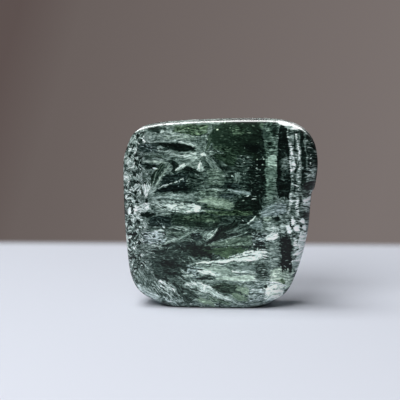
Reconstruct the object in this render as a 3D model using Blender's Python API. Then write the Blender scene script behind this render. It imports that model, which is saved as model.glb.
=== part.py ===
# A polished slab of seraphinite, one stone, standing on a small flat ground on its lower edge.
# X runs along the slab to the right, Y through its thickness and Z up. The front face looks
# along -Y. The origin lies on the surface that the slab stands on, under the middle of the stone.

import math

import bmesh
import bpy
from mathutils import Vector

# Driving dimensions, in metres.
WIDTH = 0.0620
HEIGHT = 0.0604
THICKNESS = 0.0160
EDGE_REACH = 0.0050  # how far the rounded edge runs in over each face
EDGE_DEPTH = 0.0044  # how far it runs from the face towards the middle of the thickness
FACE_CROWN = 0.0003  # how much hand polishing left the middle of the front face proud
FOOT_GRIND = 0.0003  # what was ground off the lowest point to make the foot flat

# The outline as the stone was cut, seen from the front. Each side starts in the middle of a
# rounded corner and runs clockwise. A point is (share of half the width, share of the height).
OUTLINE = {
    "top": [
        (-0.886, 0.926),
        (-0.780, 0.958),
        (-0.615, 0.976),
        (-0.330, 0.988),
        (0.030, 0.996),
        (0.350, 1.000),
        (0.625, 0.996),
    ],
    # The right side bulges below its corner, ends in a low ledge and then leans inwards.
    "right": [
        (0.835, 0.960),
        (0.958, 0.885),
        (1.000, 0.780),
        (0.970, 0.652),
        (0.934, 0.614),
        (0.908, 0.425),
        (0.824, 0.240),
    ],
    "bottom": [
        (0.716, 0.108),
        (0.590, 0.049),
        (0.420, 0.014),
        (0.200, 0.000),
        (-0.160, -0.002),
        (-0.470, 0.002),
        (-0.665, 0.032),
    ],
    # The left side is nearly straight, with a shallow chip under the upper corner.
    "left": [
        (-0.832, 0.084),
        (-0.920, 0.168),
        (-0.955, 0.296),
        (-0.976, 0.445),
        (-0.988, 0.640),
        (-0.988, 0.780),
        (-0.950, 0.856),
    ],
}
STEPS_BETWEEN_POINTS = 4
EDGE_STEPS = 5
SIDE_STEPS = 2
EVENING_ROUNDS = 8  # what it takes to even the ledge and the chip out of the outline

STONE_COLOUR = (0.075, 0.120, 0.098, 1.0)
POLISH_ROUGHNESS = 0.22


def clear_scene():
    for thing in list(bpy.data.objects):
        bpy.data.objects.remove(thing)


def curve_point(before, start, end, after, t):
    """A point of the Catmull-Rom curve that runs from start to end as t goes from 0 to 1."""
    return 0.5 * (
        2 * start
        + (end - before) * t
        + (2 * before - 5 * start + 4 * end - after) * t**2
        + (3 * start - before - 3 * end + after) * t**3
    )


def front_outline():
    """The closed outline as a list of points, with the same number of steps on every side."""
    corners = [
        Vector((x * WIDTH / 2, 0.0, z * HEIGHT)) for side in OUTLINE.values() for x, z in side
    ]
    count = len(corners)
    points = []
    for i in range(count):
        near = [corners[(i + k) % count] for k in (-1, 0, 1, 2)]
        points += [
            curve_point(*near, step / STEPS_BETWEEN_POINTS) for step in range(STEPS_BETWEEN_POINTS)
        ]
    return points


def evened_outline(points):
    """The outline with every point drawn towards its neighbours, as at the back of the stone."""
    for _ in range(EVENING_ROUNDS):
        points = [
            (points[i - 1] + 2 * points[i] + points[(i + 1) % len(points)]) / 4
            for i in range(len(points))
        ]
    return points


def inner_outline(points):
    """Where the rounded edge ends on a face, running evenly past the ledge and the chip."""
    even = evened_outline(points)
    inner = []
    for i in range(len(even)):
        along = even[(i + 1) % len(even)] - even[i - 1]
        inward = Vector((along.z, 0.0, -along.x)).normalized()
        inner.append(even[i] + inward * EDGE_REACH)
    return inner


def edge_profile():
    """The edge's section from front to back, as pairs of (share of the reach, depth in Y)."""
    flat_half = THICKNESS / 2 - EDGE_DEPTH
    front = []
    for step in range(EDGE_STEPS + 1):
        turn = math.pi / 2 * (1 - step / EDGE_STEPS)
        front.append((1 - math.cos(turn), -flat_half - EDGE_DEPTH * math.sin(turn)))
    side = [(0.0, flat_half * (2 * step / SIDE_STEPS - 1)) for step in range(1, SIDE_STEPS)]
    back = [(share, -depth) for share, depth in reversed(front)]
    return front + side + back


def edge_rings():
    """The rounded edge as closed rings of points, from the front face to the back face."""
    front = front_outline()
    back = evened_outline(front)
    inner_front = inner_outline(front)
    inner_back = inner_outline(back)
    rings = []
    for share, depth in edge_profile():
        nearness_to_back = 0.5 + depth / THICKNESS
        ring = []
        for i in range(len(front)):
            outer = front[i].lerp(back[i], nearness_to_back)
            inner = inner_front[i].lerp(inner_back[i], nearness_to_back)
            point = outer.lerp(inner, share)
            point.y = depth
            ring.append(point)
        rings.append(ring)
    return rings


def face_grid(ring, crown):
    """Fills a closed ring with a square grid of points, bent out along Y by crown in the middle."""
    count = len(ring) // 4
    top = ring[: count + 1]
    right = ring[count : 2 * count + 1]
    bottom = ring[2 * count : 3 * count + 1][::-1]
    left = (ring[3 * count :] + ring[:1])[::-1]
    grid = []
    for j in range(count + 1):
        v = j / count
        row = []
        for i in range(count + 1):
            u = i / count
            across = left[j].lerp(right[j], u)
            down = top[i].lerp(bottom[i], v)
            corners = top[0].lerp(top[-1], u).lerp(bottom[0].lerp(bottom[-1], u), v)
            point = across + down - corners
            point.y += crown * (16 * u * (1 - u) * v * (1 - v)) ** 2
            row.append(point)
        grid.append(row)
    return grid


def add_face(bm, ring_verts, crown):
    """Closes one end of the edge band with its face, joined to the band's own vertices."""
    count = len(ring_verts) // 4
    points = face_grid([vert.co.copy() for vert in ring_verts], crown)
    grid = [[None] * (count + 1) for _ in range(count + 1)]
    for k, vert in enumerate(ring_verts):
        side, step = divmod(k, count)
        row, column = ((0, step), (step, count), (count, count - step), (count - step, 0))[side]
        grid[row][column] = vert
    for j in range(1, count):
        for i in range(1, count):
            grid[j][i] = bm.verts.new(points[j][i])
    for j in range(count):
        for i in range(count):
            bm.faces.new((grid[j][i], grid[j + 1][i], grid[j + 1][i + 1], grid[j][i + 1]))


def grind_foot(bm):
    """Lowers the stone by what grinding takes off, and flattens all that is then below zero."""
    lowest = min(vert.co.z for vert in bm.verts)
    for vert in bm.verts:
        vert.co.z = max(vert.co.z - lowest - FOOT_GRIND, 0.0)


def centre_over_origin(bm):
    """Moves the stone along X until its left and right ends are equally far from the origin."""
    left = min(vert.co.x for vert in bm.verts)
    right = max(vert.co.x for vert in bm.verts)
    for vert in bm.verts:
        vert.co.x -= (left + right) / 2


def slab_mesh():
    """The whole stone as one closed mesh: the rounded edge as a band of rings, and two faces."""
    bm = bmesh.new()
    rings = [[bm.verts.new(point) for point in ring] for ring in edge_rings()]
    for front, back in zip(rings, rings[1:]):
        for i in range(len(front)):
            j = (i + 1) % len(front)
            bm.faces.new((front[i], front[j], back[j], back[i]))
    add_face(bm, rings[0], -FACE_CROWN)
    add_face(bm, rings[-1], 0.0)
    grind_foot(bm)
    centre_over_origin(bm)
    bmesh.ops.recalc_face_normals(bm, faces=bm.faces)
    mesh = bpy.data.meshes.new("slab")
    bm.to_mesh(mesh)
    bm.free()
    return mesh


def stone_material():
    material = bpy.data.materials.new("seraphinite")
    material.use_nodes = True
    shader = material.node_tree.nodes["Principled BSDF"]
    shader.inputs["Base Color"].default_value = STONE_COLOUR
    shader.inputs["Roughness"].default_value = POLISH_ROUGHNESS
    shader.inputs["Metallic"].default_value = 0.0
    return material


def build_slab():
    mesh = slab_mesh()
    mesh.shade_smooth()
    mesh.materials.append(stone_material())
    slab = bpy.data.objects.new("slab", mesh)
    bpy.context.scene.collection.objects.link(slab)


clear_scene()
build_slab()
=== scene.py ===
import math

import bpy
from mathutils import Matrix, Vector


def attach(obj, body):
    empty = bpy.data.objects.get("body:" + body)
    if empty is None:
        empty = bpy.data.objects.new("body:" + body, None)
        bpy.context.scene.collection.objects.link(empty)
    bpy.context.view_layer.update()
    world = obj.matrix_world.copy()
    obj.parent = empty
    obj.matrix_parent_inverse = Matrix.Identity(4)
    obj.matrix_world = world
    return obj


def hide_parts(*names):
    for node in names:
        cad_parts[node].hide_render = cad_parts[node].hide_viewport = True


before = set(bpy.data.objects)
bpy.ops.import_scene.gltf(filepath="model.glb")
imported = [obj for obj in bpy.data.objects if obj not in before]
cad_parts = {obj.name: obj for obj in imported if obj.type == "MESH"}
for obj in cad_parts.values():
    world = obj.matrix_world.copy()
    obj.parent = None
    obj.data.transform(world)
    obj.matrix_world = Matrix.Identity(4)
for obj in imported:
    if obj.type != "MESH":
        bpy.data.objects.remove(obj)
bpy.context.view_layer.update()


# The slab is one stone, sawn out of a lump of seraphinite, the feathered kind of clinochlore. It
# was trimmed by hand, which left a low ledge on the right and a shallow chip on the left. Then its
# edges were rounded, a small flat was ground under it, and all of it was polished.
WIDTH = 0.0620
HEIGHT = 0.0604
THICKNESS = 0.0160
EDGE_REACH = 0.0050  # how far the rounded edge runs in over each face
EDGE_DEPTH = 0.0044  # how far it runs from the face towards the middle of the thickness
FACE_CROWN = 0.0003  # how much hand polishing left the middle of the front face proud
FOOT_GRIND = 0.0003  # what was ground off the lowest point to make the foot flat
POLISH_WAVE = 0.00003  # depth of the slow waves that hand polishing leaves on a face
EDGE_WAVE = 0.00012  # and along the rounded edge
WAVE_PITCH = 170.0  # such waves in a metre
FACE_STARTS = 0.75  # cosine of the lean at which the edge's waves thin out towards a face

# The outline as the stone was cut, seen from the front. Each side starts in the middle of a
# rounded corner and runs clockwise. A point is (share of half the width, share of the height).
OUTLINE = {
    "top": [
        (-0.886, 0.926),
        (-0.780, 0.958),
        (-0.615, 0.976),
        (-0.330, 0.988),
        (0.030, 0.996),
        (0.350, 1.000),
        (0.625, 0.996),
    ],
    "right": [
        (0.835, 0.960),
        (0.958, 0.885),
        (1.000, 0.780),
        (0.970, 0.652),
        (0.934, 0.614),
        (0.908, 0.425),
        (0.824, 0.240),
    ],
    "bottom": [
        (0.716, 0.108),
        (0.590, 0.049),
        (0.420, 0.014),
        (0.200, 0.000),
        (-0.160, -0.002),
        (-0.470, 0.002),
        (-0.665, 0.032),
    ],
    "left": [
        (-0.832, 0.084),
        (-0.920, 0.168),
        (-0.955, 0.296),
        (-0.976, 0.445),
        (-0.988, 0.640),
        (-0.988, 0.780),
        (-0.950, 0.856),
    ],
}
CUT_STEPS = 4  # steps between two points of the outline while it is cut and evened
FINE_STEPS = 6  # steps that each of those gets in the finished stone
CUT_COUNT = sum(len(side) for side in OUTLINE.values()) * CUT_STEPS
RIM_COUNT = CUT_COUNT * FINE_STEPS
SIDE_COUNT = RIM_COUNT // 4
EVENING_ROUNDS = 8  # what it takes to even the ledge and the chip out of the outline
EDGE_STEPS = 12
BAND_STEPS = 3  # steps across the straight band between the two rounded edges
POINTS_TOUCH = 1e-6


def add_node(tree, kind, inputs=None, **settings):
    """A new node, with its settings made and its inputs, by name or place, linked or filled in."""
    node = tree.nodes.new(kind)
    for name, value in settings.items():
        setattr(node, name, value)
    for key, value in (inputs or {}).items():
        if isinstance(value, bpy.types.NodeSocket):
            tree.links.new(value, node.inputs[key])
        else:
            node.inputs[key].default_value = value
    return node


def maths(tree, operation, *values, clamp=False):
    """The result of one Math node on numbers or sockets."""
    inputs = dict(enumerate(values))
    node = add_node(tree, "ShaderNodeMath", inputs, operation=operation, use_clamp=clamp)
    return node.outputs[0]


def vector_maths(tree, operation, *values):
    """The result of one Vector Math node, which is a number for a dot product or a length."""
    inputs = dict(enumerate(values))
    node = add_node(tree, "ShaderNodeVectorMath", inputs, operation=operation)
    return node.outputs[1 if operation in ("DOT_PRODUCT", "LENGTH") else 0]


def scaled(tree, vector, factor):
    """A vector, made longer or shorter by the factor."""
    inputs = {0: vector, "Scale": factor}
    return add_node(tree, "ShaderNodeVectorMath", inputs, operation="SCALE").outputs[0]


def vector_between(tree, start, end, share):
    """The vector that lies the given share of the way from start to end."""
    inputs = {0: share, 4: start, 5: end}
    return add_node(tree, "ShaderNodeMix", inputs, data_type="VECTOR").outputs[1]


def from_parts(tree, x, y, z):
    """The vector made of three numbers."""
    return add_node(tree, "ShaderNodeCombineXYZ", {0: x, 1: y, 2: z}).outputs[0]


def parts_of(tree, vector):
    """The three numbers of a vector."""
    return add_node(tree, "ShaderNodeSeparateXYZ", {0: vector}).outputs


def stored(tree, name):
    """A vector that the outline carries under a name."""
    kind = "GeometryNodeInputNamedAttribute"
    return add_node(tree, kind, {"Name": name}, data_type="FLOAT_VECTOR").outputs[0]


def store(tree, curve, name, vector):
    """The outline, carrying one vector more for each of its points."""
    inputs = {"Geometry": curve, "Name": name, "Value": vector}
    kind = "GeometryNodeStoreNamedAttribute"
    return add_node(tree, kind, inputs, data_type="FLOAT_VECTOR", domain="POINT").outputs[0]


def vector_at(tree, curve, vector, step, count):
    """A vector at one step along a closed outline of the given count of points."""
    index = maths(tree, "FLOORED_MODULO", maths(tree, "ROUND", step), count)
    inputs = {"Geometry": curve, "Value": vector, "Index": index}
    kind = "GeometryNodeSampleIndex"
    return add_node(tree, kind, inputs, data_type="FLOAT_VECTOR", domain="POINT").outputs[0]


def drawn_smoothly(tree, curve, steps):
    """The closed curve through an outline's points, with the given steps between two of them."""
    kind = "GeometryNodeCurveSplineType"
    smooth = add_node(tree, kind, {"Curve": curve}, spline_type="CATMULL_ROM").outputs[0]
    inputs = {"Geometry": smooth, "Resolution": steps}
    finer = add_node(tree, "GeometryNodeSetSplineResolution", inputs).outputs[0]
    kind = "GeometryNodeResampleCurve"
    return add_node(tree, kind, {"Curve": finer}, mode="EVALUATED").outputs[0]


def evened(tree, vector):
    """A vector of the outline after every point was drawn towards its neighbours, many times."""
    inputs = {"Value": vector, "Iterations": EVENING_ROUNDS, "Weight": 0.5}
    kind = "GeometryNodeBlurAttribute"
    return add_node(tree, kind, inputs, data_type="FLOAT_VECTOR").outputs[0]


def moved_inwards(tree, curve, name, reach):
    """Where the rounded edge ends on a face: the outline of a name, moved inwards by the reach."""
    step = add_node(tree, "GeometryNodeInputIndex").outputs[0]
    rim = stored(tree, name)
    ahead = vector_at(tree, curve, rim, maths(tree, "ADD", step, 1), CUT_COUNT)
    behind = vector_at(tree, curve, rim, maths(tree, "SUBTRACT", step, 1), CUT_COUNT)
    along = vector_maths(tree, "SUBTRACT", ahead, behind)
    inward = vector_maths(tree, "NORMALIZE", vector_maths(tree, "CROSS_PRODUCT", (0, 1, 0), along))
    return vector_maths(tree, "ADD", rim, scaled(tree, inward, reach))


def cut_outline(tree, points, reach):
    """The outlines of the front and the back, and of their faces, carried by one fine curve."""
    curve = drawn_smoothly(tree, points, CUT_STEPS)
    curve = store(tree, curve, "front", add_node(tree, "GeometryNodeInputPosition").outputs[0])
    curve = store(tree, curve, "back", evened(tree, stored(tree, "front")))
    curve = store(tree, curve, "front face", moved_inwards(tree, curve, "back", reach))
    curve = store(tree, curve, "even back", evened(tree, stored(tree, "back")))
    curve = store(tree, curve, "back face", moved_inwards(tree, curve, "even back", reach))
    return drawn_smoothly(tree, curve, FINE_STEPS)


def counted_grid(tree, columns, rows):
    """A flat grid, and the column and the row of each of its points, counted from 0."""
    inputs = {"Size X": columns, "Size Y": rows, "Vertices X": columns + 1, "Vertices Y": rows + 1}
    grid = add_node(tree, "GeometryNodeMeshGrid", inputs).outputs[0]
    place = parts_of(tree, add_node(tree, "GeometryNodeInputPosition").outputs[0])
    column = maths(tree, "ADD", place[0], columns / 2)
    row = maths(tree, "ADD", place[1], rows / 2)
    return grid, column, row


def put_at(tree, geometry, position):
    """A geometry with each of its points put at a position."""
    inputs = {"Geometry": geometry, "Position": position}
    return add_node(tree, "GeometryNodeSetPosition", inputs).outputs[0]


def edge_band(tree, outline, thickness, edge_depth):
    """The whole edge, round from the rim of the front face to the rim of the back face."""
    grid, column, row = counted_grid(tree, RIM_COUNT, 2 * EDGE_STEPS + BAND_STEPS)
    quarter = math.pi / 2
    front_step = maths(tree, "DIVIDE", row, EDGE_STEPS, clamp=True)
    front_turn = maths(tree, "MULTIPLY", maths(tree, "SUBTRACT", 1, front_step), quarter)
    last_front_row = maths(tree, "SUBTRACT", row, EDGE_STEPS)
    band_step = maths(tree, "DIVIDE", last_front_row, BAND_STEPS, clamp=True)
    first_back_row = maths(tree, "SUBTRACT", row, EDGE_STEPS + BAND_STEPS)
    back_step = maths(tree, "DIVIDE", first_back_row, EDGE_STEPS, clamp=True)
    back_turn = maths(tree, "MULTIPLY", back_step, quarter)
    cosines = [maths(tree, "COSINE", turn) for turn in (front_turn, back_turn)]
    share = maths(tree, "SUBTRACT", 2, maths(tree, "ADD", *cosines))
    flat_half = maths(tree, "SUBTRACT", maths(tree, "MULTIPLY", thickness, 0.5), edge_depth)
    band_depth = maths(tree, "MULTIPLY", maths(tree, "MULTIPLY_ADD", band_step, 2, -1), flat_half)
    sines = [maths(tree, "SINE", turn) for turn in (back_turn, front_turn)]
    rounding = maths(tree, "SUBTRACT", *sines)
    depth = maths(tree, "MULTIPLY_ADD", rounding, edge_depth, band_depth)
    nearness_to_back = maths(tree, "ADD", maths(tree, "DIVIDE", depth, thickness), 0.5)
    rims = {
        name: vector_at(tree, outline, stored(tree, name), column, RIM_COUNT)
        for name in ("front", "back", "front face", "back face")
    }
    outer = vector_between(tree, rims["front"], rims["back"], nearness_to_back)
    inner = vector_between(tree, rims["front face"], rims["back face"], nearness_to_back)
    place = parts_of(tree, vector_between(tree, outer, inner, share))
    return put_at(tree, grid, from_parts(tree, place[0], depth, place[2]))


def face_sheet(tree, outline, name, depth, crown):
    """One face of the slab, spread evenly between the four sides of its outline."""
    grid, column, row = counted_grid(tree, SIDE_COUNT, SIDE_COUNT)
    across = maths(tree, "DIVIDE", column, SIDE_COUNT)
    down = maths(tree, "DIVIDE", row, SIDE_COUNT)
    steps = {
        "top": column,
        "right": maths(tree, "ADD", row, SIDE_COUNT),
        "bottom": maths(tree, "SUBTRACT", 3 * SIDE_COUNT, column),
        "left": maths(tree, "SUBTRACT", 4 * SIDE_COUNT, row),
    }
    side = {
        key: vector_at(tree, outline, stored(tree, name), step, RIM_COUNT)
        for key, step in steps.items()
    }
    corner = [
        vector_at(tree, outline, stored(tree, name), k * SIDE_COUNT, RIM_COUNT) for k in range(4)
    ]
    across_face = vector_between(tree, side["left"], side["right"], across)
    down_face = vector_between(tree, side["top"], side["bottom"], down)
    top = vector_between(tree, corner[0], corner[1], across)
    bottom = vector_between(tree, corner[3], corner[2], across)
    corners = vector_between(tree, top, bottom, down)
    spread = vector_maths(tree, "ADD", across_face, down_face)
    place = parts_of(tree, vector_maths(tree, "SUBTRACT", spread, corners))
    # The crown rises from none at the rim to all of it in the middle, where both shares are a half.
    left_over = [maths(tree, "SUBTRACT", 1, share) for share in (across, down)]
    rise_across = maths(tree, "MULTIPLY", across, left_over[0])
    rise_down = maths(tree, "MULTIPLY", down, left_over[1])
    sixteenth = maths(tree, "MULTIPLY", rise_across, rise_down)
    rise = maths(tree, "POWER", maths(tree, "MULTIPLY", sixteenth, 16), 2)
    crowned_depth = maths(tree, "MULTIPLY_ADD", rise, crown, depth)
    return put_at(tree, grid, from_parts(tree, place[0], crowned_depth, place[2]))


def hand_polished(tree, stone, face_wave, edge_wave):
    """The stone with shallow waves sunk into it, which are deeper along its rounded edge."""
    normal = add_node(tree, "GeometryNodeInputNormal").outputs[0]
    flatness = maths(tree, "ABSOLUTE", parts_of(tree, normal)[1])
    inputs = {0: flatness, 1: FACE_STARTS, 2: 1.0, 3: edge_wave, 4: face_wave}
    depth = add_node(tree, "ShaderNodeMapRange", inputs).outputs[0]
    wave = add_node(tree, "ShaderNodeTexNoise", {"Scale": WAVE_PITCH, "Detail": 1.0}).outputs[0]
    sunk = maths(tree, "MULTIPLY", maths(tree, "MULTIPLY", wave, depth), -1)
    inputs = {"Geometry": stone, "Offset": scaled(tree, normal, sunk)}
    return add_node(tree, "GeometryNodeSetPosition", inputs).outputs[0]


def statistic(tree, geometry, number):
    """The least and the greatest of a number over all points of a geometry, among others."""
    inputs = {"Geometry": geometry, "Attribute": number}
    return add_node(tree, "GeometryNodeAttributeStatistic", inputs, domain="POINT").outputs


def standing_on_foot(tree, stone, grind):
    """The stone with its foot ground flat at height 0, and its middle over the origin."""
    place = parts_of(tree, add_node(tree, "GeometryNodeInputPosition").outputs[0])
    across = statistic(tree, stone, place[0])
    lowest = maths(tree, "ADD", statistic(tree, stone, place[2])["Min"], grind)
    height = maths(tree, "MAXIMUM", maths(tree, "SUBTRACT", place[2], lowest), 0)
    middle = maths(tree, "MULTIPLY", maths(tree, "ADD", across["Min"], across["Max"]), 0.5)
    centred = maths(tree, "SUBTRACT", place[0], middle)
    return put_at(tree, stone, from_parts(tree, centred, place[1], height))


def slab_tree():
    """Cuts, rounds, polishes and grinds the slab from the points of its outline."""
    tree = bpy.data.node_groups.new("cut_and_polished_slab", "GeometryNodeTree")
    tree.interface.new_socket("Outline", in_out="INPUT", socket_type="NodeSocketGeometry")
    sizes = ("Thickness", "Edge Reach", "Edge Depth", "Face Crown", "Foot Grind")
    for name in (*sizes, "Face Wave", "Edge Wave"):
        tree.interface.new_socket(name, in_out="INPUT", socket_type="NodeSocketFloat")
    tree.interface.new_socket("Stone", in_out="INPUT", socket_type="NodeSocketMaterial")
    tree.interface.new_socket("Slab", in_out="OUTPUT", socket_type="NodeSocketGeometry")
    given = tree.nodes.new("NodeGroupInput").outputs

    outline = cut_outline(tree, given["Outline"], given["Edge Reach"])
    edge = edge_band(tree, outline, given["Thickness"], given["Edge Depth"])
    back_depth = maths(tree, "MULTIPLY", given["Thickness"], 0.5)
    front_depth = maths(tree, "MULTIPLY", back_depth, -1)
    front_crown = maths(tree, "MULTIPLY", given["Face Crown"], -1)
    front = face_sheet(tree, outline, "front face", front_depth, front_crown)
    back = face_sheet(tree, outline, "back face", back_depth, 0)
    turned_front = add_node(tree, "GeometryNodeFlipFaces", {"Mesh": front}).outputs[0]

    join = add_node(tree, "GeometryNodeJoinGeometry")
    for sheet in (edge, turned_front, back):
        tree.links.new(sheet, join.inputs[0])
    inputs = {"Geometry": join.outputs[0], "Distance": POINTS_TOUCH}
    stone = add_node(tree, "GeometryNodeMergeByDistance", inputs).outputs[0]
    stone = hand_polished(tree, stone, given["Face Wave"], given["Edge Wave"])
    stone = standing_on_foot(tree, stone, given["Foot Grind"])
    stone = add_node(tree, "GeometryNodeSetShadeSmooth", {"Geometry": stone}).outputs[0]
    stone = add_node(tree, "GeometryNodeRealizeInstances", {"Geometry": stone}).outputs[0]
    inputs = {"Geometry": stone, "Material": given["Stone"]}
    finished = add_node(tree, "GeometryNodeSetMaterial", inputs).outputs[0]
    tree.links.new(finished, tree.nodes.new("NodeGroupOutput").inputs[0])
    return tree


def outline_curve():
    """The outline's own points as a closed curve of straight runs."""
    points = [(x * WIDTH / 2, 0.0, z * HEIGHT, 1.0) for side in OUTLINE.values() for x, z in side]
    curve = bpy.data.curves.new("outline", "CURVE")
    curve.dimensions = "3D"
    spline = curve.splines.new("POLY")
    spline.points.add(len(points) - 1)
    spline.points.foreach_set("co", [number for point in points for number in point])
    spline.use_cyclic_u = True
    return curve


# The pattern is set out in millimetres over the front face, x from its middle and z up from its
# foot. A plume is a bundle of fibres that runs from its root to its tip: (root, tip, half its width
# at the root, in the middle and at the tip, tones at the root and the tip, what else is special).
# One half width stands for a sliver with narrow ends, and one tone for an even plume. A tone is a
# brightness from 0, black, to 1, white. Of the rest, bend is how far the middle lies off to the
# left of the straight way, contrast is how much the fibres differ, flecks is how far the bright
# dashes stand out, hue runs from -1 for bluish to 1 for olive, fray is how unevenly the fibres
# end, soft is how wide the border is, and with own_grain=False the fibres below show through.
GROUND = [
    ((-31, 52.5), (-3, 53), (9, 9, 7), (0.35, 0.41), dict(soft=1.5)),
    ((-30, 31), (-5, 31), (12, 12.5, 12), 0.34, dict(contrast=0.1, soft=2)),
    ((-7, 43), (13, 43), (6, 7, 7), (0.24, 0.16), dict(contrast=0.07, soft=1.5)),
    ((-8, 28), (14, 28), (7, 9, 9), (0.22, 0.16), dict(contrast=0.07, soft=1.5)),
    ((-10.5, 8), (17, 8), (7.5, 8, 9), 0.42, dict(contrast=0.1, soft=1)),
    ((-27, 9), (-9, 9), (10, 9, 9), 0.34, dict(contrast=0.1, soft=1.5)),
    ((11.5, 61), (12, 36), (2.5, 3, 3.2), 0.09,
     dict(contrast=0.05, flecks=0.3, soft=0.6, own_grain=False)),
]
UPPER_LEFT = [
    ((-21.5, 57.3), (-16.5, 57.3), (0.3, 0.8, 0.4), (0.2, 0.22)),
    ((-14.5, 57.5), (-3.6, 57.6), (0.8, 1.8, 1.3), (0.22, 0.26), dict(hue=0.8)),
    ((-8, 57.3), (-3.5, 57), (0.15, 0.35, 0.2), 0.45, dict(hue=0.5)),
    ((-4.5, 57), (-2.8, 58.7), (0.15, 0.3, 0.15), 0.5),
    ((-27.5, 57.2), (-9, 60.6), (1, 1.3, 0.4), (0.86, 0.74), dict(bend=1.4, soft=0.6)),
    ((-24, 56.3), (-17.5, 57.2), (0.2, 0.5, 0.2), (0.36, 0.3)),
    ((-23, 57), (-16.5, 57.3), (0.2, 0.9, 0.4), (0.15, 0.2), dict(contrast=0.05)),
    ((-24.5, 52.3), (-18, 52.7), (0.4, 0.9, 0.4), (0.18, 0.14), dict(contrast=0.06)),
    ((-16, 58.7), (-9.5, 58.6), (0.1, 0.4, 0.2), (0.36, 0.3), dict(hue=0.6)),
    ((-17.5, 55), (-6.8, 55.2), (0.5, 0.9, 0.8), 0.44, dict(hue=0.15)),
    ((-15.5, 56.6), (-9.5, 56.9), 0.3, (0.5, 0.46), dict(hue=0.3)),
    ((-17, 55.7), (-8, 55.6), 0.2, (0.62, 0.58)),
    ((-24.6, 54.6), (-22.8, 53.3), (0.1, 0.35, 0.15), 0.85),
    ((-22.5, 54), (-20.8, 53.8), 0.25, 0.7),
    ((-19.3, 52.8), (-7.2, 51.2), (0.3, 1.4, 0.5), (0.07, 0.09), dict(contrast=0.03, flecks=0.05)),
    ((-20.5, 51.3), (-15, 51), (0.1, 0.4, 0.2), (0.14, 0.16)),
    ((-18.2, 52.5), (-15.6, 51.9), (0.05, 0.16, 0.05), (0.34, 0.3)),
    ((-13, 52.5), (-10.5, 52.9), (0.05, 0.16, 0.05), (0.4, 0.36)),
    ((-8.6, 51.9), (-7.2, 53), (0.1, 0.3, 0.2), (0.52, 0.56)),
    ((-16.8, 53.95), (-12, 53.9), (0.08, 0.18, 0.1), (0.72, 0.7)),
    ((-12.8, 53.6), (-6.7, 52.4), (0.1, 0.5, 0.4), (0.72, 0.62), dict(contrast=0.12)),
    ((-25.5, 51.5), (-19.5, 51.5), (1, 1.5, 1.2), 0.2, dict(flecks=0.4, hue=-0.5)),
    ((-16, 49.4), (-7.2, 49.1), (0.1, 0.5, 1.15), (0.5, 0.66), dict(contrast=0.12)),
    ((-24.5, 48.9), (-16, 48.9), 0.6, 0.2, dict(hue=0.2)),
    ((-24.5, 47.3), (-15.8, 46.9), 0.55, (0.52, 0.5), dict(hue=0.2)),
    ((-25, 46), (-19, 45.8), (0.2, 1, 0.3), 0.17),
    ((-25, 46.5), (-22.5, 43.8), 0.3, 0.6),
    ((-22.3, 39), (-17.5, 47), (0.1, 1.3, 0.5), (0.17, 0.2), dict(contrast=0.05, hue=0.3)),
    ((-21.6, 38.6), (-19, 45.5), 0.3, (0.48, 0.38), dict(hue=0.2)),
    ((-20.8, 38.3), (-15.4, 47.2), (0.15, 0.5, 0.3), (0.5, 0.42), dict(hue=0.2)),
    ((-19.9, 38.4), (-13, 45.8), (0.1, 0.9, 0.8), (0.15, 0.13), dict(contrast=0.04)),
    ((-20.2, 38.3), (-14.2, 44.2), (0.1, 0.35, 0.2), (0.44, 0.38)),
    ((-16.5, 47.8), (-11.8, 45.2), (0.2, 0.9, 0.5), (0.13, 0.12), dict(contrast=0.05)),
    ((-12, 45.6), (-5.8, 43), (0.6, 1.9, 1.3), (0.13, 0.09), dict(contrast=0.05, soft=0.6)),
    ((-13.8, 44.7), (-10.3, 46.6), (0.2, 0.7, 0.4), (0.8, 0.7), dict(contrast=0.2, soft=0.4)),
    ((-10.8, 46.3), (-7.5, 48.6), (0.35, 0.45, 0.3), (0.55, 0.58)),
    ((-16.3, 44.8), (-13.8, 42.4), (0.1, 0.6, 0.9), (0.42, 0.36)),
    ((-18.5, 40.8), (-7, 41.3), (1.2, 2.9, 2.5), (0.13, 0.17),
     dict(contrast=0.06, flecks=0.25, hue=-0.7)),
    ((-20, 37.9), (-9, 39.6), (0.1, 1.2, 1.4), (0.05, 0.08),
     dict(contrast=0.03, flecks=0.2, hue=-0.9)),
    ((-20.3, 38.2), (-11.2, 42.2), (0.1, 0.35, 0.2), (0.5, 0.48), dict(contrast=0.25)),
]
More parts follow.
